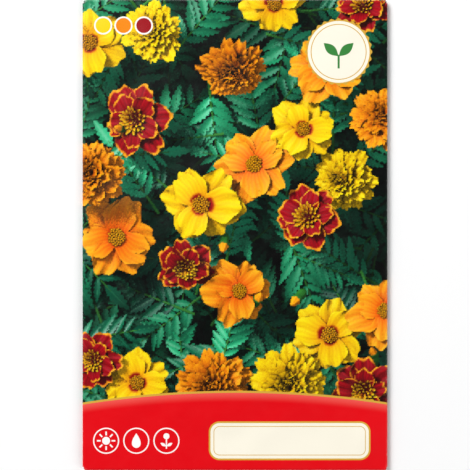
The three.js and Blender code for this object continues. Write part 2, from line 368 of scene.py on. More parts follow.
def plant(points, u, v, kind, tone):
    """Adds one bent grid to the bed, with its smooth normals. kind picks its paint and tone varies it."""
    normals = unit(np.cross(np.gradient(points, axis=0), np.gradient(points, axis=1)), NO_LENGTH)
    triangles = grid_triangles(*points.shape[:2])
    patches.append({
        "points": points.reshape(-1, 3),
        "normals": normals.reshape(-1, 3),
        "uv": np.stack([u, v], -1).reshape(-1, 2),
        "triangles": triangles,
        "kind": np.full(len(triangles), kind),
        "tone": np.full(len(triangles), tone),
    })


def soft_step(low, high, value):
    """0 up to low, 1 from high on, and a smooth rise between them. Swapped limits turn it round."""
    share = np.clip((value - low) / (high - low), 0, 1)
    return share * share * (3 - 2 * share)


def turned(angle, axis):
    """The matrix of a turn about the X, Y or Z axis."""
    cos, sin = math.cos(angle), math.sin(angle)
    first, second = {"X": (1, 2), "Y": (2, 0), "Z": (0, 1)}[axis]
    matrix = np.eye(3)
    matrix[first, first] = matrix[second, second] = cos
    matrix[first, second], matrix[second, first] = -sin, sin
    return matrix


print("a quarter turn about Z takes X to", (turned(math.pi / 2, "Z") @ [1, 0, 0]).round(3))

# %% [markdown]
# ### Petals
#
# Garden blooms of this kind have fan-shaped petals: narrow at the foot, broad and a little frilled at the
# tip, with shallow notches and fine pleats that catch the light. One formula makes them all. A bloom is
# rings of petals that stand more upright towards its middle.

# %% A petal
PETAL_FOOT = 0.24  # how wide a petal's foot is, as a share of its full width
TIP_ROUNDING = 0.30
NOTCH_DEPTH = 0.045
ARCH_RISE, ARCH_FALL = 0.12, 0.20
PLEATS, PLEAT_DEPTH = 7, 0.018
RIPPLES = 2.6  # waves along the frilled tip
UNEVENNESS = 0.06  # how much the petals of one ring differ


def petal(u, v, length, width, cup, frill, notches, phase, twist=0.0):
    """Points of a petal that lies along +X. cup lifts its sides, and frill waves its tip."""
    half = width / 2 * (PETAL_FOOT + (1 - PETAL_FOOT) * u**0.75)
    tip = 1 - TIP_ROUNDING * np.abs(v) ** 3 + NOTCH_DEPTH * np.cos(notches * math.pi * v + phase) * u
    arch = ARCH_RISE * u - ARCH_FALL * u * u
    pleats = PLEAT_DEPTH * np.cos(PLEATS * math.pi * v) * u
    wave = frill * u**1.6 * np.sin(RIPPLES * math.pi * v + 2 * phase)
    x = length * u * tip
    y = half * v * (1 - 0.25 * u**6)
    z = length * (arch + pleats + wave + twist * u * v) + cup * half * v * v * u
    return np.stack([x, y, z], -1)


def ring_of_petals(bloom, count, length, width, tilt, height, fine, **shape):
    """Petals round a bloom's middle, each a little different. Their sizes are shares of its radius."""
    place, pose, radius, kind = bloom
    u, v = uv_grid(*fine)
    first = draw.uniform(0, math.tau)
    for number in range(count):
        azimuth = first + number * math.tau / count + draw.normal(0, UNEVENNESS)
        size = draw.normal(1, UNEVENNESS)
        phase, twist = draw.uniform(0, math.tau), draw.normal(0, UNEVENNESS)
        bend = petal(u, v, radius * length * size, radius * width * size, phase=phase, twist=twist, **shape)
        bend = bend @ turned(-tilt - draw.normal(0, UNEVENNESS), "Y").T @ turned(azimuth, "Z").T
        bend[..., 2] += radius * height
        plant(bend @ pose.T + place, u, v, kind, draw.uniform(0, 1))


print("petal tips reach", petal(*uv_grid(9, 9), 10, 6, 0.3, 0.04, 3, 0)[-1, 4].round(2))

# %% [markdown]
# ### Blooms
#
# Three forms are mixed, as in a mixed packet: a full double bloom, a crested bloom with gold-edged dark
# petals, and an open bloom with a disc of small florets. Florets follow the golden angle, as they do in
# nature.

# %% The florets in a bloom's middle
PAINTS = (
    "yellow", "orange", "crimson", "open yellow", "open orange", "crest", "floret",
    "leaf", "stalk", "soil", "bud",
)
KIND = {paint: number for number, paint in enumerate(PAINTS)}
GOLDEN_ANGLE = math.pi * (3 - math.sqrt(5))
CREST_FLORETS = 34
DISC_FLORETS = 46


def spiral(count, radius):
    """Places of florets in a disc, from its middle outwards: share of the radius, angle, x and y."""
    for number in range(count):
        share = math.sqrt((number + 0.5) / count)
        angle = number * GOLDEN_ANGLE
        yield share, angle, radius * share * math.cos(angle), radius * share * math.sin(angle)


def crest(place, pose, radius, height):
    """A tuft of small petals that lean outwards more towards its rim."""
    u, v = uv_grid(4, 5)
    for share, angle, x, y in spiral(CREST_FLORETS, radius):
        lean = 0.15 + 0.75 * share
        bend = petal(u, v, radius * 0.75, radius * 0.42, cup=1.1, frill=0.05, notches=1, phase=angle)
        bend = bend @ turned(lean - math.pi / 2, "Y").T @ turned(angle, "Z").T
        bend += [x, y, height * (1 - 0.35 * share**2)]
        plant(bend @ pose.T + place, u, v, KIND["crest"], draw.uniform(0, 1))


def floret_disc(place, pose, radius, height):
    """A low cushion of small domes."""
    u, v = uv_grid(4, 6)
    size = radius * 0.17
    round_it = v * math.pi
    girth, rise = np.cos(u * math.pi / 2), np.sin(u * math.pi / 2)
    dome = size * np.stack([girth * np.cos(round_it), -girth * np.sin(round_it), 1.9 * rise], -1)
    for share, _, x, y in spiral(DISC_FLORETS, radius):
        floret = dome + [x, y, height * (1.3 - 0.6 * share**2)]
        plant(floret @ pose.T + place, u, v, KIND["floret"], draw.uniform(0, 1))


print("a crest has", CREST_FLORETS, "florets and a disc has", DISC_FLORETS)

# %% The three forms of bloom
DOUBLE_RINGS = 7
CREST_PETALS = {"fine": (12, 15), "cup": 0.3, "frill": 0.05, "notches": 2}
OPEN_PETALS = {"fine": (12, 15), "cup": 0.25, "frill": 0.045, "notches": 2}


def double_bloom(*bloom):
    for ring in range(DOUBLE_RINGS):
        inward = ring / (DOUBLE_RINGS - 1)
        ring_of_petals(
            bloom, count=round(13 - 5 * inward), length=1 - 0.62 * inward, width=0.62 - 0.22 * inward,
            tilt=math.radians(2 + 66 * inward**1.3), height=0.02 + 0.36 * inward, fine=(8, 9),
            cup=0.35 + 0.5 * inward, frill=0.055 + 0.03 * inward, notches=3,
        )


def crested_bloom(*bloom):
    ring_of_petals(bloom, count=6, length=1.0, width=0.98, tilt=-0.04, height=0.02, **CREST_PETALS)
    ring_of_petals(bloom, count=5, length=0.78, width=0.78, tilt=0.2, height=0.08, **CREST_PETALS)
    place, pose, radius, _ = bloom
    crest(place, pose, radius * 0.27, height=radius * 0.2)


def open_bloom(*bloom):
    ring_of_petals(bloom, count=6, length=1.0, width=0.98, tilt=0.0, height=0.0, **OPEN_PETALS)
    ring_of_petals(bloom, count=3, length=0.86, width=0.98, tilt=0.1, height=0.05, **OPEN_PETALS)
    place, pose, radius, _ = bloom
    floret_disc(place, pose, radius * 0.22, height=radius * 0.12)


print("forms:", [form.__name__ for form in (double_bloom, crested_bloom, open_bloom)])

# %% [markdown]
# ### Leaves and buds
#
# The leaves are feathered: leaflets in pairs along a stalk, each leaflet long, pointed, folded along its
# rib and cut into teeth. The teeth are made by moving every second point of the edge out and its neighbour
# in.

# %% Leaves
LEAFLET_TEETH = 6
TOOTH_TIP, TOOTH_NOTCH = 1.12, 0.72  # the leaflet's half width there, as shares of its smooth one
LEAFLET_PAIRS = 6
FIRST_PAIR, PAIRS_SPAN = 0.26, 0.66  # shares of the leaf's length
STALK_BREADTH, STALK_HEIGHT = 0.35, 0.25


def leaflet(root, heading, up, length, width, tone):
    u, v = uv_grid(2 * LEAFLET_TEETH + 1, 5)
    is_tip = np.arange(len(u))[:, None] % 2 == 1
    half = width / 2 * np.sin(math.pi * u**0.8) ** 0.85 + 0.04 * width
    half = half * np.where(is_tip, TOOTH_TIP, TOOTH_NOTCH)
    half[[0, -1]] = 0.05 * width
    side = unit(np.cross(up, heading))
    droop, roll = draw.uniform(0.1, 0.4), draw.normal(0, 0.25)
    forward = length * (u - np.where(is_tip, 0, 0.035) * np.abs(v))
    rise = 0.45 * half * np.abs(v) ** 1.3 - droop * length * u**2 + roll * half * v
    points = root + forward[..., None] * heading + (half * v)[..., None] * side + rise[..., None] * up
    plant(points, u, v, KIND["leaf"], tone)


def leaf(root, bearing, pitch, length, tone):
    aim = turned(bearing, "Z") @ turned(-pitch, "Y")
    heading, up = aim[:, 0], aim[:, 2]
    side = np.cross(up, heading)
    sag = draw.uniform(0.2, 0.6)

    def stalk(share):
        return root + heading * length * share - up * sag * length * share**2 / 2

    u, v = uv_grid(7, 3)
    spine = np.array([stalk(share) for share in u[:, 0]])[:, None, :]
    breadth = STALK_BREADTH * (1 - 0.6 * u)
    points = spine + (v * breadth)[..., None] * side + (STALK_HEIGHT * (1 - np.abs(v)))[..., None] * up
    plant(points, u, v, KIND["stalk"], tone)
    leaflet(stalk(0.93), unit(heading - up * sag * 0.8), up, length * 0.36, length * 0.13, tone)
    for pair in range(LEAFLET_PAIRS):
        share = FIRST_PAIR + PAIRS_SPAN * pair / LEAFLET_PAIRS
        usual_size = length * (0.37 - 0.045 * abs(pair - 2.0))
        for turn in (-1, 1):
            angle = turn * math.radians(draw.uniform(42, 60))
            out = unit(heading * math.cos(angle) + side * math.sin(angle) - up * sag * share / 2)
            size = usual_size * draw.normal(1, 0.08)
            leaflet(stalk(share), out, up, size, usual_size * 0.29, tone + draw.normal(0, 0.08))


print("a leaf has", 2 * LEAFLET_PAIRS + 1, "leaflets")

# %% Buds
BUD_RIM = 0.65


def bud(place, size, pose, tone):
    """A slim ribbed cup, as far as BUD_RIM, with the tips of folded petals standing out of it."""
    u, v = uv_grid(19, 25)
    in_cup = u < BUD_RIM
    cup = 0.50 * np.sin(math.pi * np.clip(u / 0.8, 0, 1) ** 0.62) ** 0.7 + 0.30 * soft_step(0.4, BUD_RIM, u)
    tuft = 0.50 * np.sqrt(np.clip((1 - u) / (1 - BUD_RIM), 0, 1))
    girth = size * np.where(in_cup, np.minimum(cup, 0.62), tuft)
    girth *= 1 + np.where(in_cup, 0.05, 0.12) * np.cos(6 * math.pi * v)
    points = np.stack([girth * np.cos(math.pi * v), -girth * np.sin(math.pi * v), 2.9 * size * u], -1)
    plant(points @ pose.T + place, u, v, KIND["bud"], tone)


print(f"a bud's cup is {BUD_RIM:.0%} of its height")

# %% [markdown]
# ### Planting
#
# Where the blooms stand decides whether the picture looks natural. Purely random places leave clumps and
# holes, and a grid looks planted by a machine. Here each new bloom tries many random places and takes the
# one that is least crowded and furthest from its own kind. The leaves only have to cover the ground, so
# each takes the next place of an even scatter: a step by the same two odd shares of the bed each time,
# wrapped round at its edges, always lands in the widest gap that is left.

# %% Plant the blooms
BED_LOW, BED_HIGH = np.array([-44.0, -50.0]), np.array([44.0, 66.0])
LOW_MARGIN, HIGH_MARGIN = (3, 6), (3, 4)
SORTS = (
    [(double_bloom, "yellow", 8.8)] * 3
    + [(double_bloom, "orange", 8.8)] * 4
    + [(crested_bloom, "crimson", 8.8)] * 6
    + [(open_bloom, "open yellow", 9.6)] * 6
    + [(open_bloom, "open orange", 9.4)] * 5
)
TRIES = 60
ENOUGH_ROOM = 0.86  # a distance between blooms that is no longer crowded, as a share of their two radii
ROOM_WEIGHT, KIN_WEIGHT = 60, 0.30
FAR_AWAY = 60
USUAL_LEAN, LEAN_SPREAD, MOST_LEAN = 5, 18, 42
blooms = []


def roominess(x, y, radius, paint):
    """How good a place is. Blooms may overlap by about a seventh, and like ones keep apart."""
    gaps = [math.hypot(x - there.x, y - there.y) / (radius + reach) for there, reach, _ in blooms]
    alike = [math.hypot(x - there.x, y - there.y) for there, _, other in blooms if other == paint]
    room = min([ENOUGH_ROOM, *gaps])
    return room * ROOM_WEIGHT + min(alike, default=FAR_AWAY) * KIN_WEIGHT


def plant_bloom(form, paint, usual_radius):
    radius = usual_radius * draw.uniform(0.86, 1.14)
    places = draw.uniform(BED_LOW + LOW_MARGIN, BED_HIGH - HIGH_MARGIN, (TRIES, 2))
    x, y = max(places, key=lambda place: roominess(*place, radius, paint))
    blooms.append((Vector((x, y)), radius, paint))
    lean = math.radians(min(MOST_LEAN, USUAL_LEAN + abs(draw.normal(0, LEAN_SPREAD))))
    towards, spin = draw.uniform(0, math.tau), draw.uniform(0, math.tau)
    pose = turned(towards, "Z") @ turned(lean, "X") @ turned(spin, "Z")
    form(np.array([x, y, draw.uniform(0, 9)]), pose, radius, KIND[paint])


for choice in draw.permutation(len(SORTS)):
    plant_bloom(*SORTS[choice])
print("planted", len(blooms), "blooms")

# %% Plant the leaves, the buds and the soil
LEAVES = 380
LEAF_LENGTH, LEAF_DEPTH, LEAF_PITCH = (17, 26), (-21, -6), (-0.1, 0.32)
EVEN_STEPS = np.array([0.7548777, 0.5698403])
LEAVES_BEYOND = 8  # leaves grow this far past the bed's edges
BUDS = 9
BUD_SIZE, BUD_LEAN = (1.9, 2.6), (0.5, 1.2)
SOIL_DEPTH = -28
SOIL_REACH = (60, 80)
leaves_low, leaves_high = BED_LOW - LEAVES_BEYOND, BED_HIGH + LEAVES_BEYOND
for number in range(LEAVES):
    middle = leaves_low + (leaves_high - leaves_low) * (number * EVEN_STEPS % 1)
    bearing, length = draw.uniform(0, math.tau), draw.uniform(*LEAF_LENGTH)
    root = middle - length / 2 * np.array([math.cos(bearing), math.sin(bearing)])
    root = np.array([*root, draw.uniform(*LEAF_DEPTH)])
    leaf(root, bearing, draw.uniform(*LEAF_PITCH), length, draw.uniform(0, 1))
for _ in range(BUDS):
    spot = draw.uniform((*BED_LOW, -4), (*BED_HIGH, 1))
    pose = turned(draw.uniform(0, math.tau), "Z") @ turned(draw.uniform(*BUD_LEAN), "X")
    bud(spot, draw.uniform(*BUD_SIZE), pose, draw.uniform(0, 1))
u, v = uv_grid(2, 2)
soil = np.stack([(2 * u - 1) * SOIL_REACH[0], v * SOIL_REACH[1], np.full_like(u, SOIL_DEPTH)], -1)
plant(soil, u, v, KIND["soil"], 0.5)
print("the bed has", sum(len(patch["triangles"]) for patch in patches), "triangles")

# %% [markdown]
# ## Photograph the bed
#
# A camera is only rays. One ray goes straight down for each corner that the picture will colour. Where it
# meets the bed, further rays ask two questions: can the sun be seen from here, and how much of the sky? A
# `BVHTree` sorts the triangles, so that a ray is tested against only a few of them.
#
# A corner's ray starts halfway between the corner and the middle of its face. So each face holds four
# samples of its own, and the picture is twice as fine as the mesh.

# %% Sort the bed's triangles
counts = np.cumsum([0] + [len(patch["points"]) for patch in patches])
keys = ("points", "normals", "uv", "kind", "tone")
bed = {key: np.concatenate([patch[key] for patch in patches]) for key in keys}
bed["triangles"] = np.concatenate([patch["triangles"] + first for patch, first in zip(patches, counts)])
bed_tree = BVHTree.FromPolygons(bed["points"].tolist(), bed["triangles"].tolist(), all_triangles=True)
print("sorted", len(bed["triangles"]), "triangles")

# %% Find where each corner looks
BLEED = 3.0  # the picture runs this far past the folds


def mesh_numbers(collection, field, kind, width=1):
    numbers = np.empty(len(collection) * width, kind)
    collection.foreach_get(field, numbers)
    return numbers.reshape(-1, width) if width > 1 else numbers


flat = mesh_numbers(sheet_mesh.vertices, "co", np.float32, 3).astype(float)
corner_vertex = mesh_numbers(sheet_mesh.loops, "vertex_index", np.int32)
face_size = mesh_numbers(sheet_mesh.polygons, "loop_total", np.int32)
face_slot = mesh_numbers(sheet_mesh.polygons, "material_index", np.int32)
corner_face = np.repeat(np.arange(len(face_size)), face_size)
corner_at = flat[corner_vertex]
middles = np.stack([np.bincount(corner_face, corner_at[:, axis]) / face_size for axis in range(3)], -1)
looks_at = (corner_at + middles[corner_face])[:, :2] / 2
in_picture = (
    (face_slot[corner_face] == PRINTED_SLOT)
    & (looks_at[:, 0] > left_fold_end - BLEED)
    & (looks_at[:, 0] < right_fold_end + BLEED)
    & (looks_at[:, 1] > BED_LOW[1])
    & (looks_at[:, 1] < top_fold_end + BLEED)
)
spots = looks_at[in_picture]
print(len(spots), "corners look at the bed")

# %% Look down on the bed
CAMERA_HEIGHT = 60.0
NO_AREA = 1e-12
cast = bed_tree.ray_cast
down = Vector((0, 0, -1))
first_hits = [cast((x, y, CAMERA_HEIGHT), down) for x, y in spots.tolist()]
hit_face = np.array([hit[2] for hit in first_hits])
hit_point = np.array([hit[0] for hit in first_hits])


def blend_corners(field):
    """The value of field where each ray hit, from the three corners of the triangle that it hit."""
    corners = bed["triangles"][hit_face]
    a, b, c = (bed["points"][corners[:, number]] for number in range(3))
    across_b, across_c, to_hit = b - a, c - a, hit_point - a
    normal = np.cross(across_b, across_c)
    area = (normal * normal).sum(1) + NO_AREA
    weight_b = (np.cross(to_hit, across_c) * normal).sum(1) / area
    weight_c = (np.cross(across_b, to_hit) * normal).sum(1) / area
    weights = np.clip(np.stack([1 - weight_b - weight_c, weight_b, weight_c], 1), 0, 1)
    return (bed[field][corners] * weights[..., None]).sum(1)


surface = unit(blend_corners("normals"), NO_LENGTH)
surface *= np.where(surface[:, 2:] < 0, -1, 1)
depths = hit_point[:, 2]
print("the rays meet the bed between", depths.min().round(1), "and", depths.max().round(1))

# %% Look for the sun and the sky
SUN = unit(np.array([-0.62, 0.52, 0.85]))
SUN_RAYS, SKY_RAYS = 5, 12
SUN_BLUR = 0.07
SKY_REACH = 14.0
SKY_RISE = 1.02  # just over 1, so that no ray leaves along the surface
LEAF_GLOW = 0.6  # what a leaf at the end of a sky ray's reach gives, as a share of the sky's light
RAY_LIFT, RAY_RISE = 0.06, 0.02  # how far off the surface a ray starts, and how far above that
starts = (hit_point + surface * RAY_LIFT + [0, 0, RAY_RISE]).tolist()
sunlight, skylight = np.zeros(len(spots)), np.zeros(len(spots))
for _ in range(SUN_RAYS):
    aims = (SUN + draw.normal(0, SUN_BLUR, surface.shape)).tolist()
    sunlight += [cast(start, aim, CAMERA_HEIGHT)[2] is None for start, aim in zip(starts, aims)]
for _ in range(SKY_RAYS):
    aims = unit(unit(draw.normal(size=surface.shape)) + SKY_RISE * surface).tolist()
    reached = [cast(start, aim, SKY_REACH)[3] for start, aim in zip(starts, aims)]
    skylight += [1.0 if far is None else LEAF_GLOW * far / SKY_REACH for far in reached]
sunlight /= SUN_RAYS
skylight /= SKY_RAYS
print(f"the sun reaches {sunlight.mean():.0%} of the picture")

# %% [markdown]
# ### Develop the picture
#
# Each kind of surface has its own paint, mixed from a few colours by `u`, `v` and the petal's own tone.
# Then the light is added: sun, sky, a little light through the thin petals, and gloss on the leaves. Leaves
# deep in the bed are darker. The last step is the film: it rolls off the brightest colours softly, as a
# photograph does.

# %% Paints of the bed
def linear(red, green, blue):
    """A colour picked on a screen, from 0 to 255, as the linear light that Blender works in."""
    screen = np.array([red, green, blue]) / 255
    return np.where(screen <= 0.04045, screen / 12.92, ((screen + 0.055) / 1.055) ** 2.4)


def blend(first, second, share):
    share = np.clip(share, 0, 1)[:, None]
    return first * (1 - share) + second * share


u, v = blend_corners("uv").T
kind, tone = bed["kind"][hit_face], bed["tone"][hit_face]
vein = 0.5 + 0.5 * np.cos(22 * v + 1.2 * np.sin(9 * u + 20 * tone))
rim = np.maximum(u + 0.02 * np.cos(3 * math.pi * v), 0.26 + 0.68 * np.abs(v) + 0.05 * u)
rib = 0.5 * soft_step(0.10, 0.0, np.abs(v))
blotch = soft_step(0.42, 0.30, u + 0.1 * np.abs(v)) * soft_step(0.75, 0.55, np.abs(v))
lit_share = soft_step(0.1, 0.8, u) * (0.6 + 0.4 * vein)
dark_petal = blend(linear(98, 3, 18), linear(160, 12, 34), lit_share)
open_petal = blend(linear(238, 150, 0), linear(255, 203, 20), 1.25 * u)
green = blend(linear(2, 84, 66), linear(60, 186, 138), tone)
paint = {
    "yellow": blend(linear(242, 152, 2), linear(255, 206, 18), 1.3 * u - 0.1 * vein),
    "orange": blend(linear(216, 78, 4), linear(252, 160, 26), 1.1 * u - 0.15 * vein),
    "crimson": blend(dark_petal, linear(246, 160, 40), soft_step(0.90, 0.96, rim)),
    "open yellow": blend(open_petal * (1 - 0.14 * vein[:, None]), linear(150, 20, 16), blotch),
    "open orange": blend(linear(222, 88, 4), linear(252, 166, 38), 1.1 * u - 0.2 * vein),
    "crest": blend(linear(226, 110, 10), linear(255, 205, 40), u),
    "floret": blend(linear(120, 60, 8), linear(246, 178, 20), u),
    "leaf": blend(green, linear(86, 176, 130), rib),
    "stalk": linear(70, 136, 66),
    "soil": linear(16, 36, 32),
    "bud": blend(linear(58, 122, 56), linear(250, 160, 24), soft_step(BUD_RIM, BUD_RIM + 0.03, u)),
}
surface_colour = np.choose(kind[:, None], [paint[name] for name in PAINTS])
print("mixed", len(paint), "paints")

# %% Light and film
SUN_STRENGTH, SKY_STRENGTH = 1.08, 0.42
WARM, COOL = np.array([1.0, 0.97, 0.90]), np.array([0.9, 1.0, 1.1])
THROUGH_PETAL, THROUGH_LEAF = 0.22, 0.05  # the share of sunlight that comes through from behind
DARKEST_LEVEL, SHADE_RISE = -22, 16  # leaves are darkest there, and undimmed this much higher
LEAF_GLOSS, PETAL_GLOSS = 0.24, 0.03
EXPOSURE = 1.3
FILM_CONTRAST = 1.3
FILM_SHOULDER = 4
is_green = np.isin(kind, [KIND[name] for name in ("leaf", "stalk", "soil", "bud")])
through = np.where(is_green, THROUGH_LEAF, THROUGH_PETAL)
facing = np.clip(surface @ SUN, 0, 1) * (1 - through) + through
light = (SUN_STRENGTH * sunlight * facing * (0.62 + 0.38 * skylight))[:, None] * WARM
light += (SKY_STRENGTH * skylight**1.3)[:, None] * COOL
depth_shade = np.clip((depths - DARKEST_LEVEL) / SHADE_RISE, 0.05, 1) ** 2.4
depth_shade = np.where(is_green, depth_shade, 1)
gloss = np.where(kind == KIND["leaf"], LEAF_GLOSS * depth_shade, PETAL_GLOSS)
gloss *= np.clip(surface @ unit(SUN + [0, 0, 1]), 0, 1) ** 20 * sunlight
exposed = (surface_colour * light + gloss[:, None]) * depth_shade[:, None]
exposed = EXPOSURE * exposed**FILM_CONTRAST
developed = exposed / (1 + exposed**FILM_SHOULDER) ** (1 / FILM_SHOULDER)
picture = np.zeros((len(corner_vertex), 4), np.float32)
picture[:, 3] = 1
picture[in_picture, :3] = developed
picture_layer = sheet_mesh.color_attributes.new("picture", "FLOAT_COLOR", "CORNER")
picture_layer.data.foreach_set("color", picture.ravel())
print("average colour of the picture, linear:", developed.mean(0).round(3))

# %% [markdown]
# ## Fold and fill
#
# The printed sheet is folded by a formula that carries each flat point `(across, along, depth)` to its
# place on the packet. A lattice or an armature could bend it too, but a formula keeps the paper's length
# true: a fold takes up exactly the strip that was left for it. Depth runs inwards from the printed side, so
# the thickness follows.
#
# The panels are swollen by the seeds. Where seeds lie close under the paper they show as faint bumps. They
# are found by casting rays down on the seeds in the frame.

# %% The swell of the panels
PILLOW = 1.0  # how far the trapped air and the stiff folds raise the front in its middle
HEAP = 1.0  # how much more the seed heap raises it
HEAP_CENTRE, HEAP_REACH = (-1, -13), (24, 33)
REST_SHARE = 1.35  # how soon the back comes down flat: more makes the flat spot larger
SIDE_POWER, END_POWER = 2, 2.5  # how round the panels are from side to side and from end to end


def swell(x, y):
    """0 along every folded edge and 1 in the packet's middle."""
    beside = np.clip(1 - (np.abs(x) / -left_fold) ** SIDE_POWER, 0, 1)
    beyond = np.clip(1 - (np.abs(y) / end_fold) ** END_POWER, 0, 1)
    return beside * beyond


def from_heap(x, y):
    """How far a place is from the heap's middle, across and along, as shares of the heap's reach."""
    return (x - HEAP_CENTRE[0]) / HEAP_REACH[0], (y - HEAP_CENTRE[1]) / HEAP_REACH[1]


def front_level(x, y):
    """The level of the printed side of the front, before the fine bumps."""
    aside, ahead = from_heap(x, y)
    return front_edge + swell(x, y) * (PILLOW + HEAP * np.exp(-(aside**2) - ahead**2))


def back_level(x, y):
    """The level of the printed side of the back. It comes down to the table and stays flat there."""
    return EDGE_LIFT * (1 - np.minimum(1, REST_SHARE * swell(x, y)))


heap_top = front_level(*HEAP_CENTRE)
print(f"the front rises to {heap_top:.2f} mm, and the frame's top is at {sheet_high[2]:.2f} mm")

# %% Seed bumps
SEED_MAP_STEP = 0.6
BUMP_HEIGHT = 0.26
BUMP_BLURS = 2
BUMP_LEVELS = (1.2, 3.0)  # seeds that reach the first level start to show, and the second show fully
seed_tree = BVHTree.FromObject(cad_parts[SEEDS_NODE], bpy.context.evaluated_depsgraph_get())
map_x = np.arange(left_fold, right_fold + SEED_MAP_STEP, SEED_MAP_STEP)
map_y = np.arange(-end_fold, end_fold + SEED_MAP_STEP, SEED_MAP_STEP)


def seed_top(x, y):
    """How high the seeds stand at a place, in millimetres, or 0 where none lies."""
    place = seed_tree.ray_cast((x * MM, y * MM, CAMERA_HEIGHT * MM), down)[0]
    return place.z / MM if place else 0.0


def blurred(grid):
    padded = np.pad(grid, 1, mode="edge")
    neighbours = padded[:-2, 1:-1] + padded[2:, 1:-1] + padded[1:-1, :-2] + padded[1:-1, 2:]
    return (neighbours + 2 * grid) / 6


def read_map(grid, x, y):
    """The value of a map between its points. A place past its edge takes the value at the edge."""
    column = np.clip((x - map_x[0]) / SEED_MAP_STEP, 0, len(map_x) - 1.001)
    row = np.clip((y - map_y[0]) / SEED_MAP_STEP, 0, len(map_y) - 1.001)
    i, j = column.astype(int), row.astype(int)
    a, b = column - i, row - j
    low_side = grid[i, j] * (1 - b) + grid[i, j + 1] * b
    high_side = grid[i + 1, j] * (1 - b) + grid[i + 1, j + 1] * b
    return low_side * (1 - a) + high_side * a


seed_map = np.array([[seed_top(x, y) for y in map_y] for x in map_x])
for _ in range(BUMP_BLURS):
    seed_map = blurred(seed_map)
seed_map = soft_step(*BUMP_LEVELS, seed_map)
print("seed bumps cover", f"{(seed_map > 0.5).mean():.0%}", "of the front")

# %% Puckers, ridges and cockles
PUCKERS = 7  # along each long edge
PUCKER_SPAN, PUCKER_WIDTH, PUCKER_DEPTH = 100, 2.2, 0.10
RIDGE_WIDTH, RIDGE_HEIGHT = 2.4, 0.10
COCKLE_HEIGHT = 0.05


def puckers(x, y):
    """Short shallow dents that a full packet has square to its long edges."""
    total = np.zeros_like(x)
    for side in (-1, 1):
        from_edge = right_fold - side * x
        dent = soft_step(0, 5, from_edge) * soft_step(17, 5, from_edge)
        for number in range(PUCKERS):
            shifted = number + 0.5 + 0.3 * math.sin(5 * number + side)
            middle = -PUCKER_SPAN / 2 + PUCKER_SPAN * shifted / PUCKERS
            total += dent * np.exp(-(((y - middle) / PUCKER_WIDTH) ** 2))
    return total


def corner_ridges(x, y):
    """A faint ridge that runs in from each corner, where the paper is pulled from two sides."""
    from_side, from_end = right_fold - np.abs(x), end_fold - np.abs(y)
    inwards = (from_side + from_end) / 2
    aside = (from_side - from_end * 0.8) / 2
    return np.exp(-((aside / RIDGE_WIDTH) ** 2)) * soft_step(1, 8, inwards) * soft_step(30, 12, inwards)


def cockles(x, y):
    """Long shallow waves of paper that has never lain quite flat, between -1 and 1."""
    return np.sin(0.19 * x + 0.11 * y + 1.0) * np.sin(0.16 * y - 0.07 * x) * soft_step(0, 0.3, swell(x, y))


def front_relief(x, y):
    relief = BUMP_HEIGHT * (read_map(seed_map, x, y) - 1) * soft_step(0, 0.35, swell(x, y))
    relief = relief - PUCKER_DEPTH * puckers(x, y) + RIDGE_HEIGHT * corner_ridges(x, y)
    return relief + COCKLE_HEIGHT * cockles(x, y)


print(2 * PUCKERS, "puckers,", PUCKER_DEPTH, "mm deep")

# %% The folding formula
FLAP_SPRING = 0.22
SPRING_START, SPRING_FULL = 26, 38  # distances from the packet's middle line


def roll(out, z, chosen, fold_line, side, turn, radius, outer_radius):
    """Bends the chosen points through a half turn, from the front's level down to the back's."""
    out[chosen] = (fold_line + side * radius * np.sin(math.pi * turn))[chosen]
    z[chosen] = (front_edge - outer_radius + radius * np.cos(math.pi * turn))[chosen]


def flap_droop(x, reach):
    """The corners of an end flap aren't glued right to the edge, and spring away a little."""
    aside = soft_step(SPRING_START, SPRING_FULL, np.abs(x))
    return FLAP_SPRING * aside * np.clip(reach / BOTTOM_FLAP, 0, 1) ** 2


def fold_sheet(points):
    """Carries flat points to their places on the packet. Their third number is the depth, 0 to -PAPER."""
    s, t, depth = points.T
    x, y, z = s.copy(), t.copy(), np.zeros_like(s)
    on_front = (s >= left_fold) & (s <= right_fold) & (np.abs(t) <= end_fold)
    z[on_front] = (front_level(s, t) + front_relief(s, t) + depth)[on_front]
    left = (s < left_fold) & (s > left_fold_end)
    roll(x, z, left, left_fold, -1, (left_fold - s) / left_length, left_radius + depth, left_radius)
    right = (s > right_fold) & (s < right_fold_end)
    roll(x, z, right, right_fold, 1, (s - right_fold) / right_length, right_radius + depth, right_radius)
    back = s <= left_fold_end
    x[back] = (left_fold + left_fold_end - s)[back]
    z[back] = (back_level(x, y) - depth)[back]
    seam = s >= right_fold_end
    x[seam] = (right_fold + right_fold_end - s)[seam]
    z[seam] = (back_level(x, y) + PAPER + GLUE_GAP - depth)[seam]
    past = np.abs(t) - end_fold
    end_roll = (past > 0) & (past < end_length)
    out = np.zeros_like(s)
    roll(out, z, end_roll, 0, 1, past / end_length, end_radius + depth, end_radius)
    y[end_roll] = (np.sign(t) * (end_fold + out))[end_roll]
    flap = past >= end_length
    y[flap] = (np.sign(t) * (end_fold - past + end_length))[flap]
    z[flap] = (back_level(x, y) - GLUE_GAP - PAPER - depth - flap_droop(x, past - end_length))[flap]
    return np.stack([x, y, z], -1)


past_left_fold = fold_sheet(np.array([[left_fold_end - 10.0, 0.0, 0.0]]))[0]
print("the point 10 mm past the left fold goes to", past_left_fold.round(2), "mm")

# %% Fold the sheet
def place_object(name, data):
    """A new object in the scene, at the origin."""
    thing = bpy.data.objects.new(name, data)
    bpy.context.collection.objects.link(thing)
    return thing


folded = fold_sheet(flat)
sheet_mesh.vertices.foreach_set("co", (folded * MM).astype(np.float32).ravel())
sheet_mesh.set_sharp_from_angle(angle=math.radians(60))
sheet_mesh.update()
paper_sheet = place_object("paper_sheet", sheet_mesh)
print("the folded sheet spans", folded.min(0).round(2), "to", folded.max(0).round(2), "mm")

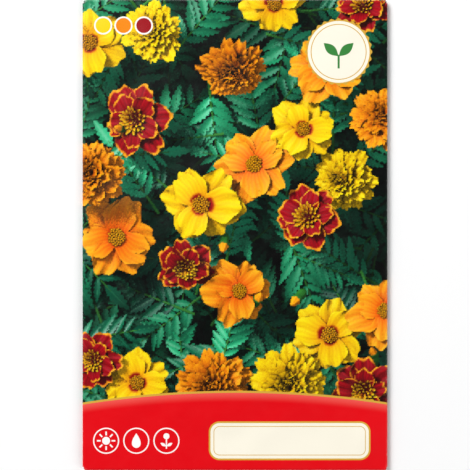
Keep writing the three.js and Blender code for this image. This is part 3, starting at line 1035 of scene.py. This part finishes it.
# %% [markdown]
# ## The seeds
#
# A seed of this flower is a slim dark splinter, a little flattened and ribbed along its length, with a tuft
# of stiff pale bristles at its upper end. `spin` turns an outline into the body. Pulling in every second
# column of its points gives the ribs. The bristles are thin cones with three sides: two long ones and four
# short.

# %% The body of a seed
SEED_OUTLINE = (
    (0.0, 0.0), (0.1, 0.07), (0.7, 0.2), (1.5, 0.31), (2.4, 0.38), (3.8, 0.36), (4.9, 0.31), (5.4, 0.27)
)
SEED_BODY = SEED_OUTLINE[-1][0]
SEED_SIDES = 8
RIB_GROOVE = 0.78
one_seed = bmesh.new()
outline = [one_seed.verts.new((radius, 0, height)) for height, radius in (*SEED_OUTLINE, (SEED_BODY, 0))]
spine = [one_seed.edges.new(pair) for pair in zip(outline, outline[1:])]
bmesh.ops.spin(
    one_seed, geom=outline + spine, axis=(0, 0, 1), cent=(0, 0, 0), steps=SEED_SIDES, angle=math.tau,
    use_merge=True,
)
bmesh.ops.remove_doubles(one_seed, verts=one_seed.verts[:], dist=SAME_PLACE)
for vertex in one_seed.verts:
    column = round(math.atan2(vertex.co.y, vertex.co.x) / math.tau * SEED_SIDES)
    if column % 2:
        vertex.co.xy *= RIB_GROOVE
print("the body has", len(one_seed.faces), "faces")

# %% The bristles, and the whole seed
SEED_TUFT = 2.2
SEED_LENGTH = SEED_BODY + SEED_TUFT
SEED_FLATNESS = 0.55
BRISTLES = (2.2, 1.2, 1.3, 2.1, 1.25, 1.15)
BRISTLE_FOOT, BRISTLE_TIP = 0.06, 0.012
BRISTLE_LEAN = math.radians(6)
BRISTLE_PLACE, BRISTLE_SUNK = 0.15, 0.1  # from the seed's middle line, and below the body's end
BRISTLE_SLOT = 1  # the husk is in slot 0, where every face starts
for number, length in enumerate(BRISTLES):
    bristle = bmesh.ops.create_cone(
        one_seed, cap_ends=True, segments=3, radius1=BRISTLE_FOOT, radius2=BRISTLE_TIP, depth=length
    )
    leaning = Matrix.Rotation(BRISTLE_LEAN, 4, "Y") @ Matrix.Translation((0, 0, length / 2))
    rooted = Matrix.Translation((BRISTLE_PLACE, 0, SEED_BODY - BRISTLE_SUNK)) @ leaning
    fanned = Matrix.Rotation(math.tau * number / len(BRISTLES), 4, "Z") @ rooted
    bmesh.ops.transform(one_seed, matrix=fanned, verts=bristle["verts"])
    for face in {face for vertex in bristle["verts"] for face in vertex.link_faces}:
        face.material_index = BRISTLE_SLOT
bmesh.ops.scale(one_seed, vec=(1, SEED_FLATNESS, 1), verts=one_seed.verts[:])
bmesh.ops.translate(one_seed, vec=(0, 0, -SEED_LENGTH / 2), verts=one_seed.verts[:])
bmesh.ops.recalc_face_normals(one_seed, faces=one_seed.faces[:])
seed_mesh = mesh_from(one_seed, "one seed")
print("one seed has", len(seed_mesh.polygons), "faces")

# %% [markdown]
# The seeds lie in a low heap. The heap is grown as in the CAD model, from the same small generator of
# random numbers, so each fine seed lies where a plain one lies in the frame. It starts with one seed in the
# middle. Each later seed lies across one that is there already, if it stays clear of the paper and of its
# neighbours in the same layer.

# %% Room for a seed
TUFT_RADIUS = 0.46
PAPER_CLEARANCE = 0.12
LAYER_RISE = 0.42
SEED_SPACING = 5.2


def point_along(x, y, turn, distance):
    return x + distance * math.cos(turn), y + distance * math.sin(turn)


def seed_level(layer):
    return PAPER + PAPER_CLEARANCE + TUFT_RADIUS + layer * LAYER_RISE


def share_out(x, y):
    """How far out in the heap a place is: 0 in the middle and 1 at the edge."""
    return math.hypot(*from_heap(x, y))


def fits_inside(x, y, turn, layer):
    reach, level = TUFT_RADIUS + PAPER_CLEARANCE, seed_level(layer)
    tests = [point_along(x, y, turn, share * SEED_LENGTH) for share in (-0.5, 0, 0.5)]
    above_back = all(level >= back_level(*test) + PAPER + reach - ROUNDING for test in tests)
    below_front = all(level <= front_level(*test) - PAPER - reach for test in tests)
    return share_out(x, y) < 1 and above_back and below_front


def has_room(x, y, layer):
    beside = [place[:2] for place in seed_places if place[3] == layer]
    return all(math.dist(place, (x, y)) > SEED_SPACING for place in beside)


print(f"the middle line of the lowest seeds lies {seed_level(0):.2f} mm above the table")

# %% Where the seeds lie
SEED_COUNT = 84
HEAP_DRAW = 11
FIRST_SEED_TURN = 0.4
CROSSING_REACH = 0.28  # two seeds cross at most this share of their length from their middles
CROSSING_TURN = (0.3 * math.pi, 0.7 * math.pi)


def random_numbers(state):
    """An endless row of numbers between 0 and 1, the same in every program."""
    while True:
        state = (state * 1664525 + 1013904223) % 2**32
        yield state / 2**32


def between(least, most):
    return least + (most - least) * next(numbers)


numbers = random_numbers(HEAP_DRAW)
seed_places = [(*HEAP_CENTRE, FIRST_SEED_TURN, 0)]
while len(seed_places) < SEED_COUNT:
    first, second = (seed_places[int(next(numbers) * len(seed_places))] for _ in range(2))
    host = first if share_out(*first[:2]) > share_out(*second[:2]) else second
    crossing = point_along(*host[:3], between(-1, 1) * CROSSING_REACH * SEED_LENGTH)
    turn = host[2] + between(*CROSSING_TURN)
    spot = point_along(*crossing, turn, between(-1, 1) * CROSSING_REACH * SEED_LENGTH)
    layer = max(0, host[3] + (-1 if next(numbers) < 0.5 else 1))
    if fits_inside(*spot, turn, layer) and has_room(*spot, layer):
        seed_places.append((*spot, turn, layer))
print(len(seed_places), "seeds lie in", 1 + max(layer for *_, layer in seed_places), "layers")

# %% Pour the heap
UPRIGHT_TO_LYING = Matrix(((0, 0, 1), (1, 0, 0), (0, 1, 0))).to_4x4()
SIZE_SPREAD, TILT_SPREAD = 0.04, 0.2
heap = bmesh.new()
for number, (x, y, turn, layer) in enumerate(seed_places):
    poured = len(heap.verts)
    heap.from_mesh(seed_mesh)
    heap.verts.ensure_lookup_table()
    size = 1 - SIZE_SPREAD + SIZE_SPREAD * math.sin(7 * number)
    tilt = Matrix.Rotation(TILT_SPREAD * math.sin(5 * number), 4, "Z")
    lying = Matrix.Translation((x, y, seed_level(layer))) @ Matrix.Rotation(turn, 4, "Z") @ UPRIGHT_TO_LYING
    placed = Matrix.Scale(MM, 4) @ lying @ tilt @ Matrix.Scale(size, 4)
    bmesh.ops.transform(heap, matrix=placed, verts=heap.verts[poured:])
heap_mesh = mesh_from(heap, "seed_heap")
heap_mesh.shade_smooth()
heap_mesh.set_sharp_from_angle(angle=math.radians(35))
seed_heap = place_object("seed_heap", heap_mesh)
bpy.data.meshes.remove(seed_mesh)
print("the heap has", len(heap_mesh.polygons), "faces")

# %% [markdown]
# ## Shader arithmetic
#
# The flat shapes of the print, such as the band and the seal, are drawn by the shader, so their edges stay
# sharp at any size. Shader maths is many small Math nodes. To keep it readable, a `Wire` stands for a
# number in a node tree, and adding or multiplying wires adds the nodes.

# %% Wires
INK_EDGE = 0.06


def feed(source, socket):
    """Leads a wire or a socket into a node's socket, or sets a number, a vector or a colour on it."""
    if isinstance(source, Wire):
        source = source.socket
    if isinstance(source, bpy.types.NodeSocket):
        socket.id_data.links.new(source, socket)
    else:
        socket.default_value = (*source, 1) if socket.type == "RGBA" else source


def add_node(tree, kind, inputs, **settings):
    """Adds a shader node, feeds its inputs, given by name or number, and returns its outputs."""
    node = tree.nodes.new("ShaderNode" + kind)
    for name, value in settings.items():
        setattr(node, name, value)
    for name, source in inputs.items():
        feed(source, node.inputs[name])
    return node.outputs


class Wire:
    """A number that a socket carries. Arithmetic on wires adds Math nodes to their tree."""

    def __init__(self, socket):
        self.socket = socket
        self.tree = socket.id_data

    def math(self, operation, *others):
        inputs = dict(enumerate((self, *others)))
        return Wire(add_node(self.tree, "Math", inputs, operation=operation)[0])

    def __add__(self, other):
        return self.math("ADD", other)

    def __sub__(self, other):
        return self.math("SUBTRACT", other)

    def __mul__(self, other):
        return self.math("MULTIPLY", other)

    def __pow__(self, power):
        return self.math("POWER", power)

    def size(self):
        return self.math("ABSOLUTE")

    def at_most(self, other):
        return self.math("MINIMUM", other)

    def at_least(self, other):
        return self.math("MAXIMUM", other)

    def fades(self, start, end):
        """1 up to start, 0 from end on, and a smooth change between them. Swapped limits turn it round."""
        inputs = {"Value": self, "From Min": start, "From Max": end, "To Min": 1, "To Max": 0}
        return Wire(add_node(self.tree, "MapRange", inputs, interpolation_type="SMOOTHSTEP")["Result"])

    def inside(self):
        """1 where the number is below 0 and 0 above it, with an edge as soft as printing ink's."""
        return self.fades(-INK_EDGE, INK_EDGE)


print("ink has an edge", 2 * INK_EDGE, "mm wide")

# %% Colours, noise and node groups
def mixed(share, first, second):
    """Blends two colours: the first where share is 0. A colour is a socket or three linear numbers."""
    share_in, first_in, second_in, colour_out = 0, 6, 7, 2
    inputs = {share_in: share, first_in: first, second_in: second}
    return add_node(share.tree, "Mix", inputs, data_type="RGBA")[colour_out]


def noise(vector, scale, detail=2.0, roughness=0.5):
    inputs = {"Scale": scale, "Detail": detail, "Roughness": roughness, "Vector": vector}
    return Wire(add_node(vector.id_data, "TexNoise", inputs)["Fac"])


def new_group(name, inputs, outputs):
    """An empty node group and its two end nodes. inputs and outputs give each socket's name and kind."""
    tree = bpy.data.node_groups.new(name, "ShaderNodeTree")
    for in_out, sockets in (("INPUT", inputs), ("OUTPUT", outputs)):
        for socket_name, kind_name in sockets.items():
            tree.interface.new_socket(name=socket_name, in_out=in_out, socket_type=f"NodeSocket{kind_name}")
    return tree, tree.nodes.new("NodeGroupInput").outputs, tree.nodes.new("NodeGroupOutput").inputs


print("the tools for colours and groups are ready")

# %% Shapes for the print, as distances from an edge: negative inside, positive outside
def disc(x, y, radius):
    return (x * x + y * y) ** 0.5 - radius


def bar(x, y, width, height):
    """A box with sharp corners."""
    return (x.size() - width / 2).at_least(y.size() - height / 2)


def rounded_box(x, y, width, height, corner):
    past_x = x.size() - (width / 2 - corner)
    past_y = y.size() - (height / 2 - corner)
    outside_x, outside_y = past_x.at_least(0), past_y.at_least(0)
    outside = (outside_x * outside_x + outside_y * outside_y) ** 0.5
    return outside + past_x.at_least(past_y).at_most(0) - corner


def line_along(distance, thickness):
    """The distance from a line that is drawn along an edge."""
    return distance.size() - thickness / 2


def repeated(x, step):
    """The distance from the nearest of many places, one at 0 and one at every further step."""
    return (x * (1 / step)).math("PINGPONG", 0.5) * step


def blade(x, y, length, width, degrees):
    """A pointed leaf that starts at the origin and heads off at an angle."""
    cos, sin = math.cos(math.radians(degrees)), math.sin(math.radians(degrees))
    forward, aside = x * cos + y * sin, y * cos - x * sin
    share = (forward * (1 / length)).at_least(0).at_most(1)
    half = (share * math.pi).math("SINE") * (width / 2)
    return aside.size() - half + INK_EDGE


def two_blades(x, y, length, width, degrees):
    """A leaf to each side of the origin."""
    return blade(x, y, length, width, degrees).at_most(blade(x, y, length, width, 180 - degrees))


def print_over(colour, layers):
    """Prints shapes one over the other. A layer is a distance from an edge and an ink."""
    for distance, ink in layers:
        colour = mixed(distance.inside(), colour, ink)
    return colour


print("the drawing tools are ready")

# %% [markdown]
# ## The front's print
#
# Over the picture lie flat shapes in plain inks: a red band with a gold line along its arched top, a bare
# cream panel, three small garden signs, a round cream seal with a sprout, and a key to the three colours
# in the mix. Each shape is given by the distance from its edge, and the ink fills the inside.

# %% The band
RED = linear(227, 4, 18)
# a lighter red for a painted highlight along the band's top edge
HIGHLIGHT_RED = linear(240, 86, 78)
GOLD = linear(214, 168, 62)
BAND_TOP = -45.0
BAND_ARCH = 3.2
front_print, front_in, front_out = new_group(
    "front print", {"Picture": "Color", "Across": "Float", "Along": "Float"}, {"Color": "Color"}
)
x, y = Wire(front_in["Across"]), Wire(front_in["Along"])
from_band = y - BAND_TOP - BAND_ARCH + x * x * (BAND_ARCH / (WIDTH / 2) ** 2)
# Just under the band's arched top the red is painted lighter, a painted highlight that fades into the plain
# red within about 3 mm.
band_ink = mixed(from_band.fades(-2.6, 0.2), HIGHLIGHT_RED, RED)
front_layers = [(from_band, band_ink), (line_along(from_band - 0.25, 0.55), GOLD)]
print("the band's top is at", BAND_TOP, "mm at the edges and", BAND_TOP + BAND_ARCH, "mm in the middle")

# %% The bare panel and the signs
CREAM = linear(250, 244, 226)
WHITE = linear(252, 251, 247)
SIGN_LEVEL = -54.6
SIGN_RADIUS = 3.3
SUN_BEAMS = 8
PANEL_MIDDLE = 14.5
PANEL_SIZE, PANEL_CORNER = (42, 9.4), 2.4
LINE_INSET = 0.9
panel_edge = rounded_box(x - PANEL_MIDDLE, y - SIGN_LEVEL, *PANEL_SIZE, PANEL_CORNER)


def framed(edge, rim_edge, line_width):
    """A cream field with a gold rim round it and a fine gold line inside."""
    return [(rim_edge, GOLD), (edge, CREAM), (line_along(edge + LINE_INSET, line_width), GOLD)]


def sun_sign(x, y):
    angle_off_beam = repeated(y.math("ARCTAN2", x), math.tau / SUN_BEAMS)
    out = (x * x + y * y) ** 0.5
    beams = (angle_off_beam * out - 0.2).at_least((out - 1.95).size() - 0.5)
    return disc(x, y, 1.05).at_most(beams)


def drop_sign(x, y):
    share = ((y - 2.1) * (-1 / 4.0)).at_least(0).at_most(1)
    half = (share**1.1) * ((share * -1 + 1) ** 0.5) * 3.3
    return x.size() - half + INK_EDGE


def plant_sign(x, y):
    stem = bar(x, y + 0.4, 0.32, 3.4)
    return stem.at_most(two_blades(x, y + 1.5, 1.9, 0.9, 30)).at_most(disc(x, y - 1.2, 0.8))


front_layers += framed(panel_edge, panel_edge - 0.45, 0.18)
for middle, shape in ((-34.2, sun_sign), (-26.2, drop_sign), (-18.2, plant_sign)):
    from_x, from_y = x - middle, y - SIGN_LEVEL
    ring = line_along(disc(from_x, from_y, SIGN_RADIUS), 0.32)
    front_layers += [(shape(from_x, from_y), WHITE), (ring, WHITE)]
print("three signs on the band, each", 2 * SIGN_RADIUS, "mm wide")

# %% The seal and the colour key
LEAF_GREEN = linear(58, 132, 62)
KEY_YELLOW = linear(252, 214, 22)
KEY_ORANGE = linear(243, 138, 20)
KEY_CRIMSON = linear(158, 18, 28)
SEAL_PLACE, SEAL_RADIUS = (27.5, 48.6), 8.2
SEAL_SCALLOPS, SCALLOP_DEPTH = 28, 0.22
KEY_LEVEL, KEY_RADIUS = 55.6, 2.0
from_x, from_y = x - SEAL_PLACE[0], y - SEAL_PLACE[1]
scallop = (from_y.math("ARCTAN2", from_x) * SEAL_SCALLOPS).math("COSINE") * SCALLOP_DEPTH
seal_edge = disc(from_x, from_y, SEAL_RADIUS)
seal_sprout = two_blades(from_x, from_y + 1.2, 5.4, 2.5, 42).at_most(bar(from_x, from_y + 2.6, 0.56, 3.6))
front_layers += [*framed(seal_edge, seal_edge - 0.5 - scallop, 0.22), (seal_sprout, LEAF_GREEN)]
for middle, key_ink in ((-35, KEY_YELLOW), (-29.6, KEY_ORANGE), (-24.2, KEY_CRIMSON)):
    key_edge = disc(x - middle, y - KEY_LEVEL, KEY_RADIUS)
    front_layers += [(key_edge - 0.4, WHITE), (key_edge, key_ink)]
feed(print_over(front_in["Picture"], front_layers), front_out["Color"])
print("the front's print has", len(front_layers), "layers and", len(front_print.nodes), "nodes")

# %% [markdown]
# ## The back's print
#
# The back tells the gardener what to do, here with signs alone: three round pictures of sowing, sprouting
# and bloom, a year of twelve boxes with bars under it for the sowing and the flowering months, ruled lines
# to write on, and a bare box. A green head continues the top flap. On the back `x` grows to the right for
# someone who looks at it.

# %% The back's head, year and lines
DEEP_GREEN = linear(14, 72, 52)
PENCIL_GREY = linear(158, 168, 160)
HEAD_START = 32
YEAR_LEVEL, MONTH, MONTH_BOX = 2.5, 5.6, 4.9
BAR_HEIGHT = 2.0
LINE_GAP = 6.0
back_print, back_in, back_out = new_group(
    "back print", {"Across": "Float", "Along": "Float"}, {"Color": "Color"}
)
back_middle = left_fold + left_fold_end
x, y = Wire(back_in["Across"]) - back_middle, Wire(back_in["Along"])
month = x * (1 / MONTH) + 6
beyond_year = (month - 6).size() - 6
in_month = (month.math("FRACT") - 0.5) * MONTH
month_edge = rounded_box(in_month, y - YEAR_LEVEL, MONTH_BOX, MONTH_BOX, 0.8)
back_layers = [
    (month_edge.at_least(beyond_year), WHITE),
    (line_along(month_edge, 0.25).at_least(beyond_year), DEEP_GREEN),
]
for level, bar_ink, first, last in ((-3.2, LEAF_GREEN, 2.1, 5.4), (-6.4, KEY_ORANGE, 5.1, 9.9)):
    from_middle = (month - (first + last) / 2) * MONTH
    months_bar = rounded_box(from_middle, y - level, (last - first) * MONTH, BAR_HEIGHT, 0.95)
    back_layers.append((months_bar, bar_ink))
lines = line_along(repeated(y, LINE_GAP), 0.18).at_least(bar(x + 12, y + 27, 43.2, 28))
bare_box = rounded_box(x - 23, y + 30, 21.2, 18, 1.5)
back_layers += [
    (lines, PENCIL_GREY),
    (bare_box, WHITE),
    (line_along(bare_box, 0.2), PENCIL_GREY),
    (y * -1 + HEAD_START, DEEP_GREEN),
    (line_along(y - (HEAD_START - 0.8), 0.5), GOLD),
]
print("the head, the year and the lines have", len(back_layers), "layers")

# %% The three round pictures
SOIL_BROWN = linear(112, 76, 48)
PALE_SKY = linear(222, 238, 226)
SEED_DARK = linear(40, 28, 20)
SCENE_LEVEL, SCENE_RADIUS = 18, 8.6
GROUND = -2.6


def sprout(x, y, height, leaf_length):
    """A stem with two leaves, that stands on the origin."""
    stem = bar(x, y - height / 2, 0.44, height)
    return stem.at_most(two_blades(x, y - height * 0.75, leaf_length, leaf_length * 0.45, 35))


def five_petals(x, y, radius):
    angle = y.math("ARCTAN2", x)
    return disc(x, y, radius) - (angle * 5).math("COSINE") * (radius * 0.22)


def sowing(x, y):
    grains = disc(repeated(x, 2.6) * 1.5, (y - (GROUND - 2)) * 0.75, 0.85)
    return [(grains.at_least(x.size() - 6.4), SEED_DARK)]


def sprouting(x, y):
    return [(sprout(x, y - GROUND, 4.0, 3.6), LEAF_GREEN)]


def blooming(x, y):
    flower, eye = five_petals(x, y - 3.4, 2.4), disc(x, y - 3.4, 0.8)
    return [(sprout(x, y - GROUND, 5.0, 3.4), LEAF_GREEN), (flower, KEY_ORANGE), (eye, KEY_CRIMSON)]


for middle, drawn_scene in ((-23, sowing), (0, sprouting), (23, blooming)):
    from_x, from_y = x - middle, y - SCENE_LEVEL
    circle = disc(from_x, from_y, SCENE_RADIUS)
    back_layers += [
        (circle, PALE_SKY),
        ((from_y - GROUND).at_least(circle), SOIL_BROWN),
        *drawn_scene(from_x, from_y),
        (line_along(circle, 0.35), DEEP_GREEN),
    ]
feed(print_over(CREAM, back_layers), back_out["Color"])
print("the back's print has", len(back_layers), "layers and", len(back_print.nodes), "nodes")

# %% [markdown]
# ## The finishes
#
# Printed paper is more than its ink. Up close its fibres make a faint grain, in a slanting light a sheet is
# never quite flat, and where it was folded hard the ink cracks and the white paper shows. Grain and wear
# are node groups with named inputs and outputs. The grain is shared by the printed and the bare side.

# %% Paper grain
paper_grain, grain_in, grain_out = new_group(
    "paper grain", {"Millimetres": "Vector"}, {"Height": "Float", "Mottle": "Float"}
)
fibres = noise(grain_in["Millimetres"], 2.6, detail=4, roughness=0.65)
cockle = noise(grain_in["Millimetres"], 0.07, detail=1)
feed(fibres * 0.012 + cockle * 0.9, grain_out["Height"])
feed(noise(grain_in["Millimetres"], 0.35, detail=3), grain_out["Mottle"])
print(paper_grain.name, "has", len(paper_grain.nodes), "nodes")

# %% Fold wear
fold_wear, wear_in, wear_out = new_group(
    "fold wear", {"Millimetres": "Vector", "Across": "Float", "Along": "Float"}, {"Crack": "Float"}
)
s, t = Wire(wear_in["Across"]), Wire(wear_in["Along"])
from_left = (s - (left_fold + left_fold_end) / 2).size()
from_right = (s - (right_fold + right_fold_end) / 2).size()
from_end = (t.size() - (end_fold + top_fold_end) / 2).size()
from_side = from_left.at_most(from_right)
near_fold = from_side.at_most(from_end).fades(0.05, 0.5)
near_corner = (from_side + from_end).fades(0.4, 2.2)
broken = noise(wear_in["Millimetres"], 1.3, detail=5, roughness=0.7)
crack = (near_fold * broken.fades(0.33, 0.41)).at_least(near_corner * broken.fades(0.40, 0.50)) * 0.8
feed(crack, wear_out["Crack"])
print(fold_wear.name, "has", len(fold_wear.nodes), "nodes")

# %% Tools to build a material
def new_material(name):
    """A material, its node tree and its Principled BSDF's inputs."""
    material = bpy.data.materials.new(name)
    material.use_nodes = True
    tree = material.node_tree
    return material, tree, tree.nodes["Principled BSDF"].inputs


def use_group(tree, group, **inputs):
    return add_node(tree, "Group", inputs, node_tree=group)


def finish(principled, colour, roughness, height):
    """Sets a material's colour, its roughness and its relief, which is a height in millimetres."""
    relief = add_node(principled["Normal"].id_data, "Bump", {"Distance": MM, "Height": height})
    feed(colour, principled["Base Color"])
    feed(roughness, principled["Roughness"])
    feed(relief["Normal"], principled["Normal"])


def parts(vector):
    """The X, Y and Z of a vector."""
    split = add_node(vector.id_data, "SeparateXYZ", {"Vector": vector})
    return [Wire(split[axis]) for axis in "XYZ"]


def sheet_place(tree):
    """The place on the flat sheet in millimetres, as it was stored before the folding."""
    uv = add_node(tree, "UVMap", {}, uv_map="dieline")["UV"]
    scale, shift = (SHEET_SPAN, SHEET_SPAN, 0), (-SHEET_SPAN / 2, -SHEET_SPAN / 2, 0)
    return add_node(tree, "VectorMath", {0: uv, 1: scale, 2: shift}, operation="MULTIPLY_ADD")["Vector"]


def packet_place(tree):
    """The place in the packet in millimetres."""
    place = add_node(tree, "TexCoord", {})["Object"]
    return add_node(tree, "VectorMath", {0: place, "Scale": 1 / MM}, operation="SCALE")["Vector"]


print("the tools for the materials are ready")

# %% Printed paper
TURNED_UNDER = 1.3  # how far the front's print runs on past a fold
FLAP_SHOWS = 0.05  # how much the edge of the seam flap stands out through the back
printed, tree, principled = new_material("printed paper")
place = sheet_place(tree)
s, t, _ = parts(place)
picture_colour = add_node(tree, "Attribute", {}, attribute_name="picture")["Color"]
front = use_group(tree, front_print, Picture=picture_colour, Across=s, Along=t)["Color"]
back = use_group(tree, back_print, Across=s, Along=t)["Color"]
grain = use_group(tree, paper_grain, Millimetres=place)
crack = Wire(use_group(tree, fold_wear, Millimetres=place, Across=s, Along=t)["Crack"])
areas = [
    (s - (left_fold_end - TURNED_UNDER), back),
    (s * -1 + right_fold_end + TURNED_UNDER, WHITE),
    (t * -1 + top_fold_end + TURNED_UNDER, DEEP_GREEN),
    (t + top_fold_end + TURNED_UNDER, RED),
]
seam_flap_line = left_fold + left_fold_end - (right_fold - SEAM_FLAP)
over_seam_flap = (s - seam_flap_line).fades(-0.4, 0.4) * FLAP_SHOWS
finish(
    principled,
    colour=mixed(crack, print_over(front, areas), WHITE),
    roughness=Wire(grain["Mottle"]) * 0.16 + 0.25 + crack * 0.4,
    height=Wire(grain["Height"]) + crack * -0.02 + over_seam_flap,
)
feed(0.3, principled["Specular IOR Level"])
print("printed paper has", len(tree.nodes), "nodes")

# %% Bare paper
stock, tree, principled = new_material("bare paper")
grain = use_group(tree, paper_grain, Millimetres=sheet_place(tree))
stock_colour = mixed(Wire(grain["Mottle"]), linear(240, 238, 230), linear(250, 249, 244))
finish(principled, stock_colour, 0.85, grain["Height"])
print("bare paper has", len(tree.nodes), "nodes")

# %% [markdown]
# Glue, husk and bristles have no print. One kind of finish does for all three: fine flecks that change the
# colour, the roughness and the height together. They lie on Object coordinates, so they need no map.

# %% Dried glue, seed husk and seed bristles
def flecked(name, dark, light, scale, detail, coarseness, roughness, relief):
    material, tree, principled = new_material(name)
    flecks = noise(packet_place(tree), scale, detail, coarseness)
    smooth, rough = roughness
    finish(principled, mixed(flecks, dark, light), flecks * (rough - smooth) + smooth, flecks * relief)
    return material


glue = flecked(
    "dried glue", linear(232, 222, 190), linear(246, 241, 222), scale=0.8, detail=3, coarseness=0.5,
    roughness=(0.25, 0.55), relief=0.02,
)
husk = flecked(
    "seed husk", linear(20, 16, 14), linear(74, 60, 48), scale=3.0, detail=4, coarseness=0.7,
    roughness=(0.5, 0.8), relief=0.06,
)
bristles = flecked(
    "seed bristles", linear(188, 164, 118), linear(232, 216, 178), scale=1.2, detail=3, coarseness=0.5,
    roughness=(0.55, 0.75), relief=0.02,
)
print("materials:", [material.name for material in (printed, stock, glue, husk, bristles)])

# %% [markdown]
# ## Join the pieces to the frame
#
# The folded sheet and the fine seeds stand for their CAD solids and ride on the packet's only body. The
# three glue lines have the right shape already, so they only get their finish.

# %% Hand the pieces over
for piece, node_name, slot_name, finishes in (
    (paper_sheet, SHEET_NODE, "printed_paper", (printed, stock)),
    (seed_heap, SEEDS_NODE, "seed_husk", (husk, bristles)),
):
    for material in finishes:
        piece.data.materials.append(material)
    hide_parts(node_name)
    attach(piece, "root")
glue_nodes = sorted(set(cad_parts) - {SHEET_NODE, SEEDS_NODE})
for node_name in glue_nodes:
    node_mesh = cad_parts[node_name].data
    for slot_number in range(len(node_mesh.materials)):
        node_mesh.materials[slot_number] = glue
print("pieces:", paper_sheet.name, seed_heap.name, *glue_nodes)

# %% [markdown]
# ## Floor, light and camera
#
# The packet lies on a pale floor under a large soft light, with a weaker one to fill the shadows. The
# studio is pale at the horizon and darker overhead, so that no white ceiling is mirrored in the print. The
# camera looks straight down through a long lens, so the packet's edges stay parallel, and the packet's
# height just fills the frame.

# %% Floor
FLOOR_REACH = 1.5
floor_form = bmesh.new()
bmesh.ops.create_grid(floor_form, x_segments=1, y_segments=1, size=FLOOR_REACH)
floor = place_object("floor", mesh_from(floor_form, "floor"))
floor_paint, tree, principled = new_material("floor")
feed((0.95, 0.95, 0.95), principled["Base Color"])
feed(0.7, principled["Roughness"])
floor.data.materials.append(floor_paint)
floor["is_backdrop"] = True
print("the floor is", 2 * FLOOR_REACH, "m wide")

# %% Lights
def soft_light(name, place, size, watts):
    """A square area light that faces the packet."""
    data = bpy.data.lights.new(name, "AREA")
    data.size = size
    data.energy = watts
    light = place_object(name, data)
    light.location = place
    light.rotation_euler = (-Vector(place)).to_track_quat("-Z", "Y").to_euler()
    print("the", name, "light is", round(Vector(place).length, 2), "m away")


soft_light("key", place=(-0.565, 0.62, 0.81), size=0.6, watts=13.8)
soft_light("fill", place=(0.75, -0.35, 0.7), size=0.8, watts=4)

# %% Studio walls
HORIZON, CEILING = 0.62, 0.08
world = bpy.data.worlds.new("studio")
world.use_nodes = True
tree = world.node_tree
_, _, height = parts(add_node(tree, "TexCoord", {})["Generated"])
background = tree.nodes["Background"].inputs
feed(height.fades(0.0, 1.0) * (HORIZON - CEILING) + CEILING, background["Strength"])
feed((1, 1, 1), background["Color"])
bpy.context.scene.world = world
bpy.context.scene.view_settings.view_transform = "Standard"
print("the studio's light falls from", HORIZON, "at the horizon to", CEILING, "overhead")

# %% Camera
LENS, SENSOR = 120.0, 36.0
MARGIN = 0.998
camera_data = bpy.data.cameras.new("camera")
camera_data.lens = LENS
camera_data.sensor_width = SENSOR
camera = place_object("camera", camera_data)
camera.location = (0, 0, front_edge * MM + HEIGHT * MM * MARGIN * LENS / SENSOR)
bpy.context.scene.camera = camera
print(f"the camera is {camera.location.z:.3f} m above the floor")

# %% Sizes, and the end
bpy.context.view_layer.update()
visual_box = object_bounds()
show_box("the visual model", visual_box)
